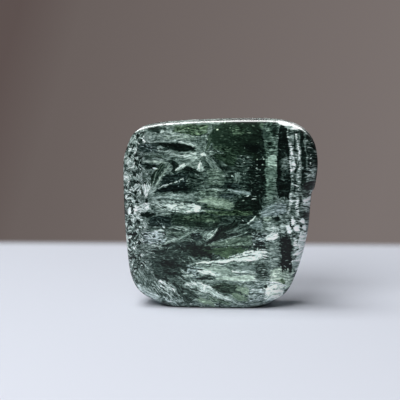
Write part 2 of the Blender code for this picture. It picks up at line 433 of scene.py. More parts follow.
UPPER_MIDDLE = [
    ((-5.3, 49.6), (-5, 58.8), (0.6, 2.2, 1.8), (0.42, 0.28), dict(soft=1.2, own_grain=False)),
    ((-4.8, 50.3), (-1.2, 57.5), (0.1, 0.9, 0.8), (0.3, 0.2), dict(contrast=0.05, hue=0.4)),
    ((-4.6, 50.5), (-3.8, 55), (0.1, 0.35, 0.2), (0.4, 0.3)),
    ((-2.6, 55.5), (13.5, 54.5), (3, 6.4, 6.5), (0.19, 0.11),
     dict(contrast=0.025, flecks=0.14, hue=0.5, soft=0.6)),
    ((3, 56.8), (8.5, 57.4), (0.5, 1.8, 0.8), (0.24, 0.22), dict(hue=0.7, soft=1)),
    ((-2.5, 52), (6, 51), (0.5, 1.4, 0.8), (0.22, 0.18), dict(hue=0.6, soft=0.8)),
    ((6.5, 52.8), (13.5, 51.2), (0.6, 1.6, 1.6), (0.07, 0.06), dict(contrast=0.02, soft=0.8)),
    ((-6.8, 54.5), (-6.9, 52), (0.08, 0.15, 0.08), 0.7),
    ((-4.8, 49.8), (-4.8, 52), (0.35, 0.2, 0.05), (0.72, 0.6)),
    ((-5, 49.7), (-12, 45), (0.3, 0.35, 0.1), (0.52, 0.48)),
    ((-4.5, 49.5), (0.5, 44), (0.2, 1.2, 1.6), (0.44, 0.34), dict(contrast=0.07)),
    ((-2.5, 49.5), (5.5, 47.8), (0.2, 1.5, 2), (0.17, 0.2), dict(contrast=0.05, hue=0.6)),
    ((-3, 49.7), (1.6, 44.6), (0.1, 0.5, 0.5), 0.14, dict(contrast=0.05)),
    ((-3.4, 49.7), (0.8, 51.4), (0.15, 0.2, 0.05), (0.52, 0.4), dict(bend=0.4)),
    ((5, 48), (10.5, 48), (1.5, 2, 1.8), (0.22, 0.2), dict(flecks=0.4)),
    ((-4, 42.6), (2.3, 42.6), (2.6, 3, 2.4), (0.38, 0.32), dict(contrast=0.07, hue=0.2, soft=0.6)),
    ((-5.9, 47.9), (-5.6, 44.7), (0.2, 0.9, 1.25), (0.78, 0.82), dict(contrast=0.14, soft=0.35)),
    ((-3, 44.8), (0.8, 44.5), 0.2, 0.6),
    ((0.5, 42.8), (2, 42.9), 0.2, 0.58),
    ((-2.3, 41.3), (1.5, 41.3), 0.2, 0.58),
    ((5.4, 44.5), (5.7, 40.6), (0.6, 1.25, 0.7), (0.42, 0.38), dict(soft=0.6)),
    ((-10.5, 41.3), (-4.5, 41.2), (2, 2.6, 1.6), (0.2, 0.22)),
    ((-7.5, 44), (-6, 43), 0.3, 0.45),
    ((1.6, 39.8), (6.8, 39.7), (0.8, 1.2, 0.8), 0.15, dict(hue=-0.8)),
    ((-5, 39.8), (1.5, 39.8), (0.1, 0.35, 0.2), 0.2),
    ((-6.3, 38.6), (2.2, 38.7), (0.2, 0.55, 0.3), (0.5, 0.48)),
]
MIDDLE_LEFT = [
    ((-23, 35.8), (-23, 40.8), (0.4, 1.2, 1.5), (0.76, 0.68), dict(contrast=0.15, fray=0.25)),
    ((-10.2, 38.2), (-5.2, 37.9), (0.3, 0.8, 0.5), 0.16, dict(contrast=0.05, soft=0.5)),
    ((-22, 37), (-19.3, 39), (0.15, 0.45, 0.1), 0.6),
    ((-22, 36), (-7.5, 36.5), (0.2, 1, 0.8), (0.47, 0.45), dict(hue=-0.15)),
    ((-27.3, 32.3), (-21.8, 33), (0.8, 1.5, 1), 0.6, dict(contrast=0.2, flecks=0.5)),
    ((-21.8, 33.9), (-7.5, 32.6), (0.7, 1.75, 1.4), (0.5, 0.58), dict(contrast=0.16)),
    ((-20.5, 33), (-14.5, 31.9), (0.1, 0.5, 0.2), (0.32, 0.36), dict(contrast=0.15)),
    ((-18.8, 34.6), (-12, 34.2), (0.1, 0.4, 0.2), (0.36, 0.42), dict(contrast=0.15)),
    ((-14, 35.1), (-8, 33.9), (0.05, 0.25, 0.35), 0.2),
    ((-16, 33.2), (-13.2, 33.5), (0.1, 0.4, 0.2), 0.86),
    ((-12.5, 31.7), (-8.5, 31.4), 0.35, (0.38, 0.44)),
    ((-19, 33.3), (-17, 32.4), 0.2, 0.75),
    ((-16.5, 29), (0.5, 28.5), (0.8, 2.2, 1.2), (0.2, 0.16), dict(contrast=0.05, hue=0.3)),
    ((-25.3, 30.5), (-19.5, 30.4), (0.2, 0.8, 0.2), 0.08, dict(contrast=0.03)),
    ((-22, 30.8), (-20.7, 31.2), 0.15, 0.7),
    ((-22.5, 28.2), (-15, 28.3), (0.8, 1.9, 1.5), 0.15, dict(contrast=0.06, flecks=0.2, hue=-0.7)),
    ((-17.4, 26.2), (-19.8, 28.9), (0.05, 0.15, 0.1), (0.6, 0.4)),
    ((-17.5, 26.1), (-18.3, 29.3), (0.05, 0.15, 0.1), (0.6, 0.4)),
    ((-17.3, 26.2), (-17.1, 29.1), (0.05, 0.15, 0.1), (0.6, 0.4)),
    ((-17, 24.2), (-8.5, 24.1), (0.5, 0.9, 0.8), (0.34, 0.32), dict(hue=0.15)),
    ((-16.5, 25.7), (-10.5, 25.2), (0.2, 0.6, 0.3), (0.18, 0.2), dict(contrast=0.06)),
    ((-15.5, 26.4), (-11.5, 25.6), 0.25, 0.6),
    ((-24.5, 23), (-16.5, 23.2), (1.4, 2.3, 1.5), (0.47, 0.45),
     dict(contrast=0.16, flecks=0.5, hue=-0.4)),
    ((-23, 24.8), (-20.5, 23), 0.25, 0.75),
    ((-20, 25), (-17.5, 25.5), 0.25, 0.7),
    ((-17, 20), (-7, 20.3), (1, 1.9, 1.8), (0.2, 0.18), dict(contrast=0.06, flecks=0.15, hue=-0.3)),
    ((-18.7, 20.6), (-13, 22.8), (0.2, 0.4, 0.35), (0.6, 0.58), dict(bend=0.2)),
    ((-13.3, 22.6), (-7.7, 25.4), (0.35, 0.4, 0.15), (0.58, 0.5), dict(bend=-0.2)),
]
CENTRE = [
    ((9, 38), (12, 31), (2.5, 2.6, 2.2), 0.07, dict(contrast=0.04)),
    ((4.5, 33.5), (12.8, 33.5), (1.2, 2.8, 3), (0.1, 0.08), dict(contrast=0.04, hue=0.2)),
    ((-12.5, 32.6), (-5.8, 32.5), (1, 1.4, 1), (0.52, 0.88), dict(contrast=0.16, fray=0.15)),
    ((-6, 31.8), (-3.2, 31.7), (0.35, 0.3, 0.1), (0.78, 0.7)),
    ((-6.3, 37.3), (0, 37.5), (0.8, 1.3, 0.8), (0.37, 0.36), dict(hue=0.2)),
    ((-0.5, 36.8), (5.5, 36.7), (0.3, 0.8, 0.5), 0.17, dict(hue=-0.8)),
    ((-7, 35.3), (5.5, 33.2), (0.5, 2, 1), (0.52, 0.42),
     dict(bend=0.4, contrast=0.05, hue=0.4, soft=0.9)),
    ((-6.5, 35), (2, 34.2), (0.2, 0.8, 0.3), (0.6, 0.56), dict(contrast=0.06, hue=0.3)),
    ((-5.5, 32), (1, 31.6), (0.2, 0.6, 0.2), (0.5, 0.38), dict(hue=0.5, soft=0.5)),
    ((-5.5, 33.4), (3, 32.3), (0.1, 0.35, 0.2), (0.28, 0.26), dict(hue=0.9)),
    ((-4.5, 31.2), (10.5, 31.4), (0.3, 0.9, 0.6), (0.25, 0.22), dict(hue=0.9)),
    ((2.2, 38.4), (10.6, 37.2), (0.3, 0.9, 0.3), (0.44, 0.48), dict(hue=-0.5, soft=0.5)),
    ((7.8, 36.7), (11.3, 36.7), 0.17, 0.9, dict(contrast=0.05)),
    ((9.9, 35.7), (11.6, 35.7), 0.17, 0.9, dict(contrast=0.05)),
    ((4, 35), (4.3, 34), 0.15, 0.55),
    ((-12, 29.5), (0, 29.3), (0.5, 1.2, 0.8), (0.23, 0.22), dict(hue=0.6)),
    ((11.8, 30.9), (8.3, 27.3), 0.35, 0.85, dict(bend=0.3)),
    ((7.4, 29.2), (8.2, 28.8), 0.15, 0.8),
    ((-9.5, 23.4), (-5, 23.7), (0.7, 1.3, 0.9), 0.17, dict(hue=-0.7)),
    ((-5.6, 23.8), (-2, 25), (0.8, 1.1, 0.5), (0.42, 0.4)),
    ((-12, 25.4), (-4.5, 25.6), (0.1, 0.2, 0.15), (0.58, 0.55)),
    ((-2.5, 22), (6, 28), (0.2, 1.5, 1.8), (0.1, 0.12), dict(contrast=0.04, hue=0.2)),
    ((1.5, 25), (9.5, 27.3), (0.3, 1.1, 0.9), 0.28),
    ((-3.6, 21.2), (1.4, 27), (0.1, 0.6, 0.8), 0.08, dict(contrast=0.03)),
    ((-4.9, 21.6), (-0.5, 26.8), (0.1, 1, 0.2), (0.42, 0.48), dict(contrast=0.14, soft=0.35)),
    ((-4.3, 21.6), (-0.2, 27), (0.05, 0.35, 0.1), (0.58, 0.66), dict(contrast=0.14, soft=0.3)),
    ((-10.5, 19), (-1, 18.8), (1.5, 2.2, 1.2), 0.1, dict(contrast=0.04, hue=0.4, soft=0.6)),
    ((-5, 18.8), (9.5, 19.2), (0.3, 1.8, 0.9), (0.24, 0.32), dict(contrast=0.03, hue=1, soft=0.8)),
    ((-0.5, 17.9), (4.8, 17.7), (0.3, 1.1, 0.5), (0.36, 0.38),
     dict(contrast=0.03, hue=1, soft=0.9)),
    ((-4.3, 20.7), (11, 22.6), (0.15, 1.35, 1.7), (0.38, 0.37),
     dict(bend=0.2, contrast=0.06, flecks=0.3, hue=0.3)),
    ((2.5, 21.2), (9, 22.6), (0.1, 0.4, 0.2), (0.26, 0.28), dict(contrast=0.05, hue=0.5)),
    ((-4, 21), (9.5, 25.4), (0.1, 0.25, 0.2), (0.62, 0.6), dict(bend=-0.2)),
]
LOWER_LEFT = [
    ((-22.5, 15), (-8.5, 15), (4, 5, 4.5), (0.25, 0.23), dict(contrast=0.05, soft=0.7)),
    ((-26.5, 13), (-21.5, 4), (1.2, 2, 1.5), (0.38, 0.42), dict(contrast=0.08)),
    ((-26.8, 8), (-18.5, 2.6), (0.8, 1.8, 1.2), (0.6, 0.68),
     dict(bend=-0.6, contrast=0.08, soft=0.8)),
    ((-25, 5.6), (-21.5, 4.5), 0.12, 0.2),
    ((-20.5, 9.5), (-12.5, 1.5), (1.5, 3, 2), (0.42, 0.45), dict(contrast=0.13, flecks=0.3)),
    ((-16.3, 7), (-14.7, 6.8), (0.1, 0.22, 0.2), 0.85),
    ((-14.8, 6.9), (-14, 5.2), (0.15, 0.18, 0.1), (0.78, 0.75)),
    ((-17.5, 3), (-13.5, 1.6), 0.3, 0.7),
    ((-18.5, 5), (-17.5, 4.6), 0.2, 0.7),
    ((-14.5, 9), (-8.8, 1.8), (0.5, 1.1, 0.8), 0.22, dict(contrast=0.06)),
    ((-15, 12), (-11.5, 13), 0.2, 0.4),
    ((-14, 11.5), (-12.5, 11.7), 0.2, 0.4),
    ((-20.5, 15.2), (-12, 13.8), (0.3, 1.2, 0.6), (0.13, 0.12), dict(contrast=0.05, soft=0.5)),
    ((-17.5, 12.2), (-11, 10.4), (0.2, 0.9, 0.4), (0.14, 0.15), dict(contrast=0.05, soft=0.5)),
    ((-14.5, 20.6), (-10, 18.8), (0.2, 0.9, 0.4), (0.12, 0.13), dict(contrast=0.05, soft=0.5)),
    ((-22, 18.2), (-16.5, 18.6), (0.3, 0.9, 0.4), (0.13, 0.14), dict(contrast=0.06, soft=0.5)),
    ((-22.5, 11.6), (-15.5, 9.2), (0.3, 1.1, 0.6), (0.17, 0.2), dict(contrast=0.06, soft=0.5)),
    ((-24.5, 20.4), (-17.5, 20), (0.2, 0.5, 0.2), (0.5, 0.42), dict(contrast=0.14)),
    ((-24.3, 18.8), (-20, 17.9), 0.3, (0.5, 0.42), dict(contrast=0.14)),
    ((-23, 16.9), (-18.8, 16.4), 0.25, (0.45, 0.4), dict(contrast=0.14)),
    ((-25, 15.6), (-22, 12.3), 0.4, (0.5, 0.45), dict(contrast=0.16)),
    ((-23.4, 13.4), (-20, 8.4), (0.1, 0.4, 0.2), (0.48, 0.42), dict(bend=0.4, contrast=0.14)),
    ((-21.6, 12.4), (-19.4, 6.8), 0.3, (0.42, 0.4), dict(bend=0.3)),
    ((-17, 18.9), (-13.8, 21), 0.25, (0.42, 0.4), dict(contrast=0.14)),
    ((-14.6, 18.2), (-11.2, 20.2), 0.2, (0.4, 0.38)),
    ((-13, 17.6), (-10.4, 14.2), 0.3, (0.4, 0.36), dict(contrast=0.14)),
    ((-18.5, 17.6), (-16.5, 15.4), 0.25, (0.36, 0.34)),
    ((-13, 13.6), (-9.4, 10.8), (0.1, 0.6, 0.3), (0.48, 0.52), dict(contrast=0.16)),
    ((-14.4, 11.4), (-10.8, 8.8), (0.1, 0.4, 0.2), (0.4, 0.44), dict(contrast=0.14)),
    ((-19.8, 9), (-15, 7.8), (0.2, 0.5, 0.2), (0.62, 0.7), dict(contrast=0.18)),
]
LOWER_MIDDLE = [
    ((-10.5, 12.5), (-5.8, 12.3), (1.5, 2.4, 1.2), 0.46, dict(contrast=0.14, flecks=0.4, hue=-0.4)),
    ((-5.5, 12.8), (5.5, 12.3), (0.4, 1.9, 1.4), (0.64, 0.5), dict(contrast=0.06, hue=0.1)),
    ((4, 13.4), (12.5, 13.6), (0.3, 1.3, 1.1), (0.44, 0.42), dict(contrast=0.06, hue=-0.15)),
    ((8, 12.2), (12.6, 12.3), (0.2, 0.6, 0.3), (0.62, 0.6)),
    ((1.5, 16.2), (15.2, 18.6), (0.3, 1.8, 1.5), (0.56, 0.84),
     dict(contrast=0.24, fray=0.15, soft=0.4)),
    ((9, 18), (15.4, 18.1), 0.25, (0.46, 0.4)),
    ((11.5, 18.9), (15.6, 18.9), (0.3, 0.5, 0.2), (0.92, 0.8), dict(contrast=0.1)),
    ((11, 17.6), (15.8, 17.3), (0.2, 0.35, 0.15), (0.8, 0.74), dict(contrast=0.1)),
    ((-6.5, 14.3), (4.5, 14.8), (0.1, 0.25, 0.15), (0.68, 0.66)),
    ((-7.5, 15.1), (12.5, 16.9), (0.3, 0.6, 0.6), (0.88, 0.84), dict(contrast=0.1)),
    ((-7, 12.6), (0.8, 11.3), (0.4, 0.9, 0.3), 0.8, dict(contrast=0.12)),
    ((0.5, 14.1), (6, 13.4), (0.2, 0.6, 0.3), 0.44),
    ((1, 10.9), (14.5, 9.3), (0.15, 0.45, 0.2), (0.82, 0.74), dict(contrast=0.12)),
    ((3, 13), (12, 12), (0.2, 0.5, 0.3), (0.7, 0.66), dict(contrast=0.12)),
    ((-9.5, 9.4), (-2.5, 7.4), (0.3, 0.8, 0.3), (0.66, 0.74), dict(contrast=0.18)),
    ((-7.7, 13.3), (-4.5, 12.9), (0.05, 0.35, 0.1), 0.16),
    ((-5.5, 12), (-3, 11.2), 0.25, 0.85),
    ((-7.5, 10.2), (-1.8, 9.9), (0.2, 0.45, 0.15), 0.13, dict(contrast=0.04)),
    ((-12, 11.2), (-7.4, 11), (0.3, 0.9, 0.4), (0.44, 0.46), dict(contrast=0.14)),
    ((-1.5, 10.1), (12, 10.4), (0.2, 1, 0.9), 0.68, dict(contrast=0.06, hue=0.2)),
    ((-2.8, 7.6), (8.8, 6.3), (0.3, 1.6, 0.7), (0.22, 0.25), dict(contrast=0.06, hue=0.4)),
    ((3.5, 5), (9.4, 3.4), (0.5, 1.3, 0.8), (0.42, 0.48), dict(contrast=0.05, hue=0.6, soft=0.5)),
    ((5, 7.2), (11, 6), (0.4, 1.6, 1.4), (0.52, 0.5), dict(contrast=0.04, hue=0.5, soft=0.9)),
    ((-3.5, 4), (4, 1.6), (0.5, 1, 0.5), 0.4, dict(hue=0.4)),
    ((-9, 4.6), (-1, 1), (0.3, 1.3, 1.1), (0.5, 0.54), dict(contrast=0.04, hue=0.5, soft=0.7)),
    ((-12, 6.4), (-6, 3.6), (0.6, 1.2, 0.5), 0.24, dict(contrast=0.06)),
    ((-11, 8.5), (-1.5, 6), (0.4, 1.1, 0.7), (0.66, 0.76), dict(contrast=0.14)),
    ((-9.4, 7), (-6.2, 6.4), (0.1, 0.5, 0.2), 0.24),
    ((-4.5, 6.5), (8.2, 1.2), (0.8, 0.75, 0.4), (0.68, 0.6), dict(bend=0.3)),
    ((9, 5.5), (14.6, 5.8), (2.5, 3.3, 2.8), (0.5, 0.49),
     dict(contrast=0.11, flecks=0.3, hue=-0.2, soft=0.5)),
]
RIGHT_MIDDLE = [
    ((9.5, 27.5), (14, 27.6), (1, 1.6, 1.2), 0.38, dict(flecks=0.4, hue=-0.5)),
    ((10, 23), (15.3, 22.8), (2, 2.6, 2.4), 0.27,
     dict(contrast=0.18, flecks=0.6, hue=-0.4, soft=0.5)),
    ((10.5, 20.4), (15.3, 20.6), (0.3, 0.5, 0.4), 0.12, dict(contrast=0.05)),
    ((12.6, 31), (21.7, 33.4), (1, 2.2, 1.3), (0.46, 0.4), dict(flecks=0.15, hue=-0.6, soft=0.5)),
    ((13.8, 29.7), (17, 29.3), (0.5, 1, 0.6), 0.5, dict(hue=0.2)),
    ((13.5, 26.3), (15.5, 26.6), 0.17, 0.85),
    ((14.6, 26.6), (19.2, 26.2), (0.5, 1.1, 0.8), (0.58, 0.54), dict(contrast=0.12)),
    ((14.2, 22.9), (18.8, 24.4), (0.5, 1.4, 0.8), 0.84, dict(contrast=0.16, fray=0.2)),
    ((12.6, 36.5), (14.4, 33.2), (0.5, 1.1, 0.6), (0.09, 0.12), dict(contrast=0.05, soft=0.6)),
    ((17.5, 22.8), (17.5, 12.5), (1.4, 1.6, 1.5), 0.42, dict(own_grain=False)),
    ((9, 15.6), (15.5, 16.1), (0.2, 0.4, 0.4), 0.45),
    ((13.3, 15.9), (15, 15.9), 0.17, 0.8),
    ((13.7, 15.8), (13.6, 9.8), (1.6, 2.1, 1.6), (0.24, 0.3),
     dict(contrast=0.1, flecks=0.3, soft=0.6, own_grain=False)),
]
LOWER_RIGHT = [
    ((15.8, 11), (23.5, 10.6), (2.4, 3.4, 2.8), (0.62, 0.6), dict(contrast=0.1, hue=0.3)),
    ((14.6, 9.2), (21.5, 8.2), (0.4, 0.6, 0.3), (0.78, 0.7), dict(contrast=0.14)),
    ((18.5, 9.6), (20.8, 9.5), (0.5, 1, 0.7), 0.4, dict(hue=1, soft=0.5)),
    ((18.5, 8.2), (21, 7.8), 0.15, 0.7),
    ((15.2, 9.5), (17.5, 8.7), (0.2, 0.4, 0.1), 0.85),
    ((14.3, 5), (21, 6), (2.4, 3, 2.2), (0.96, 0.84), dict(contrast=0.15, hue=0.15, soft=0.5)),
    ((15.6, 4.6), (19.6, 5.4), (0.2, 0.4, 0.2), (0.58, 0.6), dict(contrast=0.12, hue=0.3)),
    ((15, 2.6), (18.5, 3.6), (0.3, 0.8, 0.3), 0.66),
]
# The bands of the right side cross the fibres, so they take up the grain that they lie on.
BANDS = [
    ((11.6, 61), (16.2, 53), (0.8, 1.1, 1.2), (0.3, 0.2), dict(contrast=0.03, soft=0.8)),
    ((16.4, 60.5), (17.6, 55), (1.2, 1.5, 0.8), (0.16, 0.1), dict(contrast=0.03, soft=0.8)),
    ((16.2, 54.2), (16.9, 45), (1, 1.5, 1.6), (0.17, 0.49), dict(contrast=0.12, soft=0.9)),
    ((16.8, 45.8), (16.2, 36), (1.5, 1.3, 1.2), (0.31, 0.26), dict(contrast=0.08, soft=0.9)),
    ((15.2, 49), (18.8, 48.8), (0.3, 0.8, 0.4), (0.62, 0.58), dict(contrast=0.14)),
    ((15.4, 47), (18.4, 46.4), (0.2, 0.5, 0.3), (0.7, 0.62), dict(contrast=0.14)),
    ((15.4, 46), (18, 45.6), (0.15, 0.2, 0.1), 0.78),
    ((12.5, 59.4), (18.5, 58.8), (0.4, 1, 0.7), (0.26, 0.22), dict(soft=0.6)),
    ((20, 60), (20.2, 36), (1.3, 2.1, 2.2), 0.07, dict(contrast=0.04)),
    ((20, 43), (20, 36.6), (1.2, 1.8, 1.3), (0.08, 0.1), dict(contrast=0.07, soft=0.6)),
    ((20.2, 51), (20.6, 42.5), (1, 1.8, 1), 0.3, dict(contrast=0.1, soft=1)),
    ((20.5, 49), (21.2, 48), (0.2, 0.4, 0.2), 0.44),
    ((18.6, 42), (21.8, 42.4), 0.25, 0.26),
    ((17.3, 56.2), (18.5, 55), (0.08, 0.12, 0.08), 0.45),
    ((20, 53.2), (22, 53.1), (0.08, 0.12, 0.08), 0.45),
    ((18.5, 52), (19.5, 51), (0.08, 0.12, 0.08), 0.45),
    ((24.7, 59), (26.3, 39.5), (0.4, 0.85, 0.8), 0.1, dict(bend=0.8, contrast=0.04)),
    ((27, 58), (28.7, 45), (1, 1.5, 1.2), (0.17, 0.14), dict(bend=0.8, contrast=0.08, flecks=0.6)),
    ((29.5, 57), (30.3, 41), (0.2, 0.5, 0.4), 0.1, dict(bend=0.6, contrast=0.05)),
    ((20.6, 59), (22.1, 53.8), (0.3, 0.35, 0.35), (0.44, 0.48), dict(contrast=0.22)),
    ((22.1, 54), (22.9, 49.5), (0.4, 0.45, 0.45), 0.62, dict(contrast=0.22)),
    ((22.6, 49.6), (22.8, 44.4), (0.6, 1, 0.5), (0.7, 0.62), dict(contrast=0.22)),
    ((23, 44), (22.7, 38), (0.3, 0.3, 0.3), 0.4, dict(contrast=0.22)),
    ((22.7, 38.2), (21.8, 30.8), (0.4, 0.5, 0.45), (0.58, 0.55), dict(contrast=0.22)),
    ((23, 58.8), (24.4, 53.5), (0.3, 0.4, 0.4), (0.44, 0.5), dict(contrast=0.22)),
    ((24.4, 53.8), (25, 48), (0.4, 0.45, 0.45), 0.6, dict(contrast=0.22)),
    ((25, 48.2), (24.9, 42), (0.45, 0.4, 0.35), (0.52, 0.48), dict(contrast=0.22)),
    ((24.9, 42), (24.5, 36), (0.3, 0.3, 0.3), 0.4, dict(contrast=0.22)),
    ((24.5, 36.4), (24.5, 30.6), (0.6, 0.7, 0.6), (0.62, 0.6), dict(contrast=0.18)),
    ((23.1, 56.8), (23.7, 50.6), (0.25, 0.35, 0.3), 0.12, dict(contrast=0.05)),
    ((23.9, 50.5), (24, 46.2), (0.5, 0.6, 0.5), 0.42, dict(contrast=0.2)),
    ((24, 46), (24, 44), (0.4, 0.5, 0.4), 0.12, dict(contrast=0.05)),
    ((23.9, 43), (23.5, 38), (0.4, 0.5, 0.4), 0.12, dict(contrast=0.05)),
    ((22.3, 40.2), (25, 40.2), 0.17, 0.7),
    ((22.2, 35.5), (25, 35.4), (0.2, 0.3, 0.2), (0.65, 0.7)),
    ((26, 44), (30.2, 43.6), (0.8, 1.9, 1.6), (0.2, 0.36),
     dict(contrast=0.16, flecks=0.7, soft=0.8)),
    ((27.4, 45), (30, 44.6), 0.3, 0.7),
    ((26.6, 43.2), (29.2, 42.8), 0.25, 0.66),
    ((25.3, 40), (30, 40), (1, 1.5, 1.5), 0.08, dict(contrast=0.04)),
    ((26, 39.3), (29, 39.5), (0.08, 0.12, 0.08), 0.4),
    ((26.1, 35.3), (29, 35.2), (1.2, 1.5, 1.3), (0.8, 0.78), dict(contrast=0.16)),
    ((25, 31), (28.8, 30.8), (0.9, 1.5, 1.2), 0.12),
    ((25.8, 33.4), (28.2, 32.9), 0.17, 0.6),
    ((25.8, 32.3), (28, 31.9), 0.17, 0.6),
    ((20.3, 26.8), (27.8, 27), (2.6, 3, 2.6), (0.32, 0.36), dict(contrast=0.15)),
    ((21, 24.6), (21.4, 12.6), (1.7, 1.95, 1.6), (0.06, 0.07),
     dict(contrast=0.04, fray=0.14, soft=0.35)),
    ((19.2, 22), (20.6, 21.8), (0.08, 0.15, 0.08), 0.42),
    ((19.1, 20.2), (20.4, 20.2), (0.08, 0.15, 0.08), 0.36),
    ((19.3, 18.4), (20.8, 18.2), (0.08, 0.15, 0.08), 0.36),
    ((24.5, 24), (23.3, 14.5), (0.7, 0.75, 0.7), 0.55, dict(contrast=0.26)),
    ((26.8, 26), (25, 12), (1, 1.6, 1.4), (0.78, 0.74), dict(contrast=0.14, flecks=0.3)),
    # These two white plumes are partly the stone's white band and partly a painted highlight, where
    # the rounded edge at the top right mirrors the light.
    ((16.8, 60.3), (25.6, 58.2), (0.4, 1.6, 0.9), (0.98, 0.88), dict(bend=0.3, contrast=0.05)),
    ((19.5, 58.8), (24.5, 58), (0.2, 0.9, 0.6), (0.8, 0.76), dict(contrast=0.12)),
    ((20, 16.3), (23, 16.3), (0.08, 0.12, 0.08), 0.45),
    ((20.3, 15), (22.1, 13.1), 0.2, 0.85),
    ((20.8, 13.6), (21.3, 13.2), 0.12, 0.6),
]
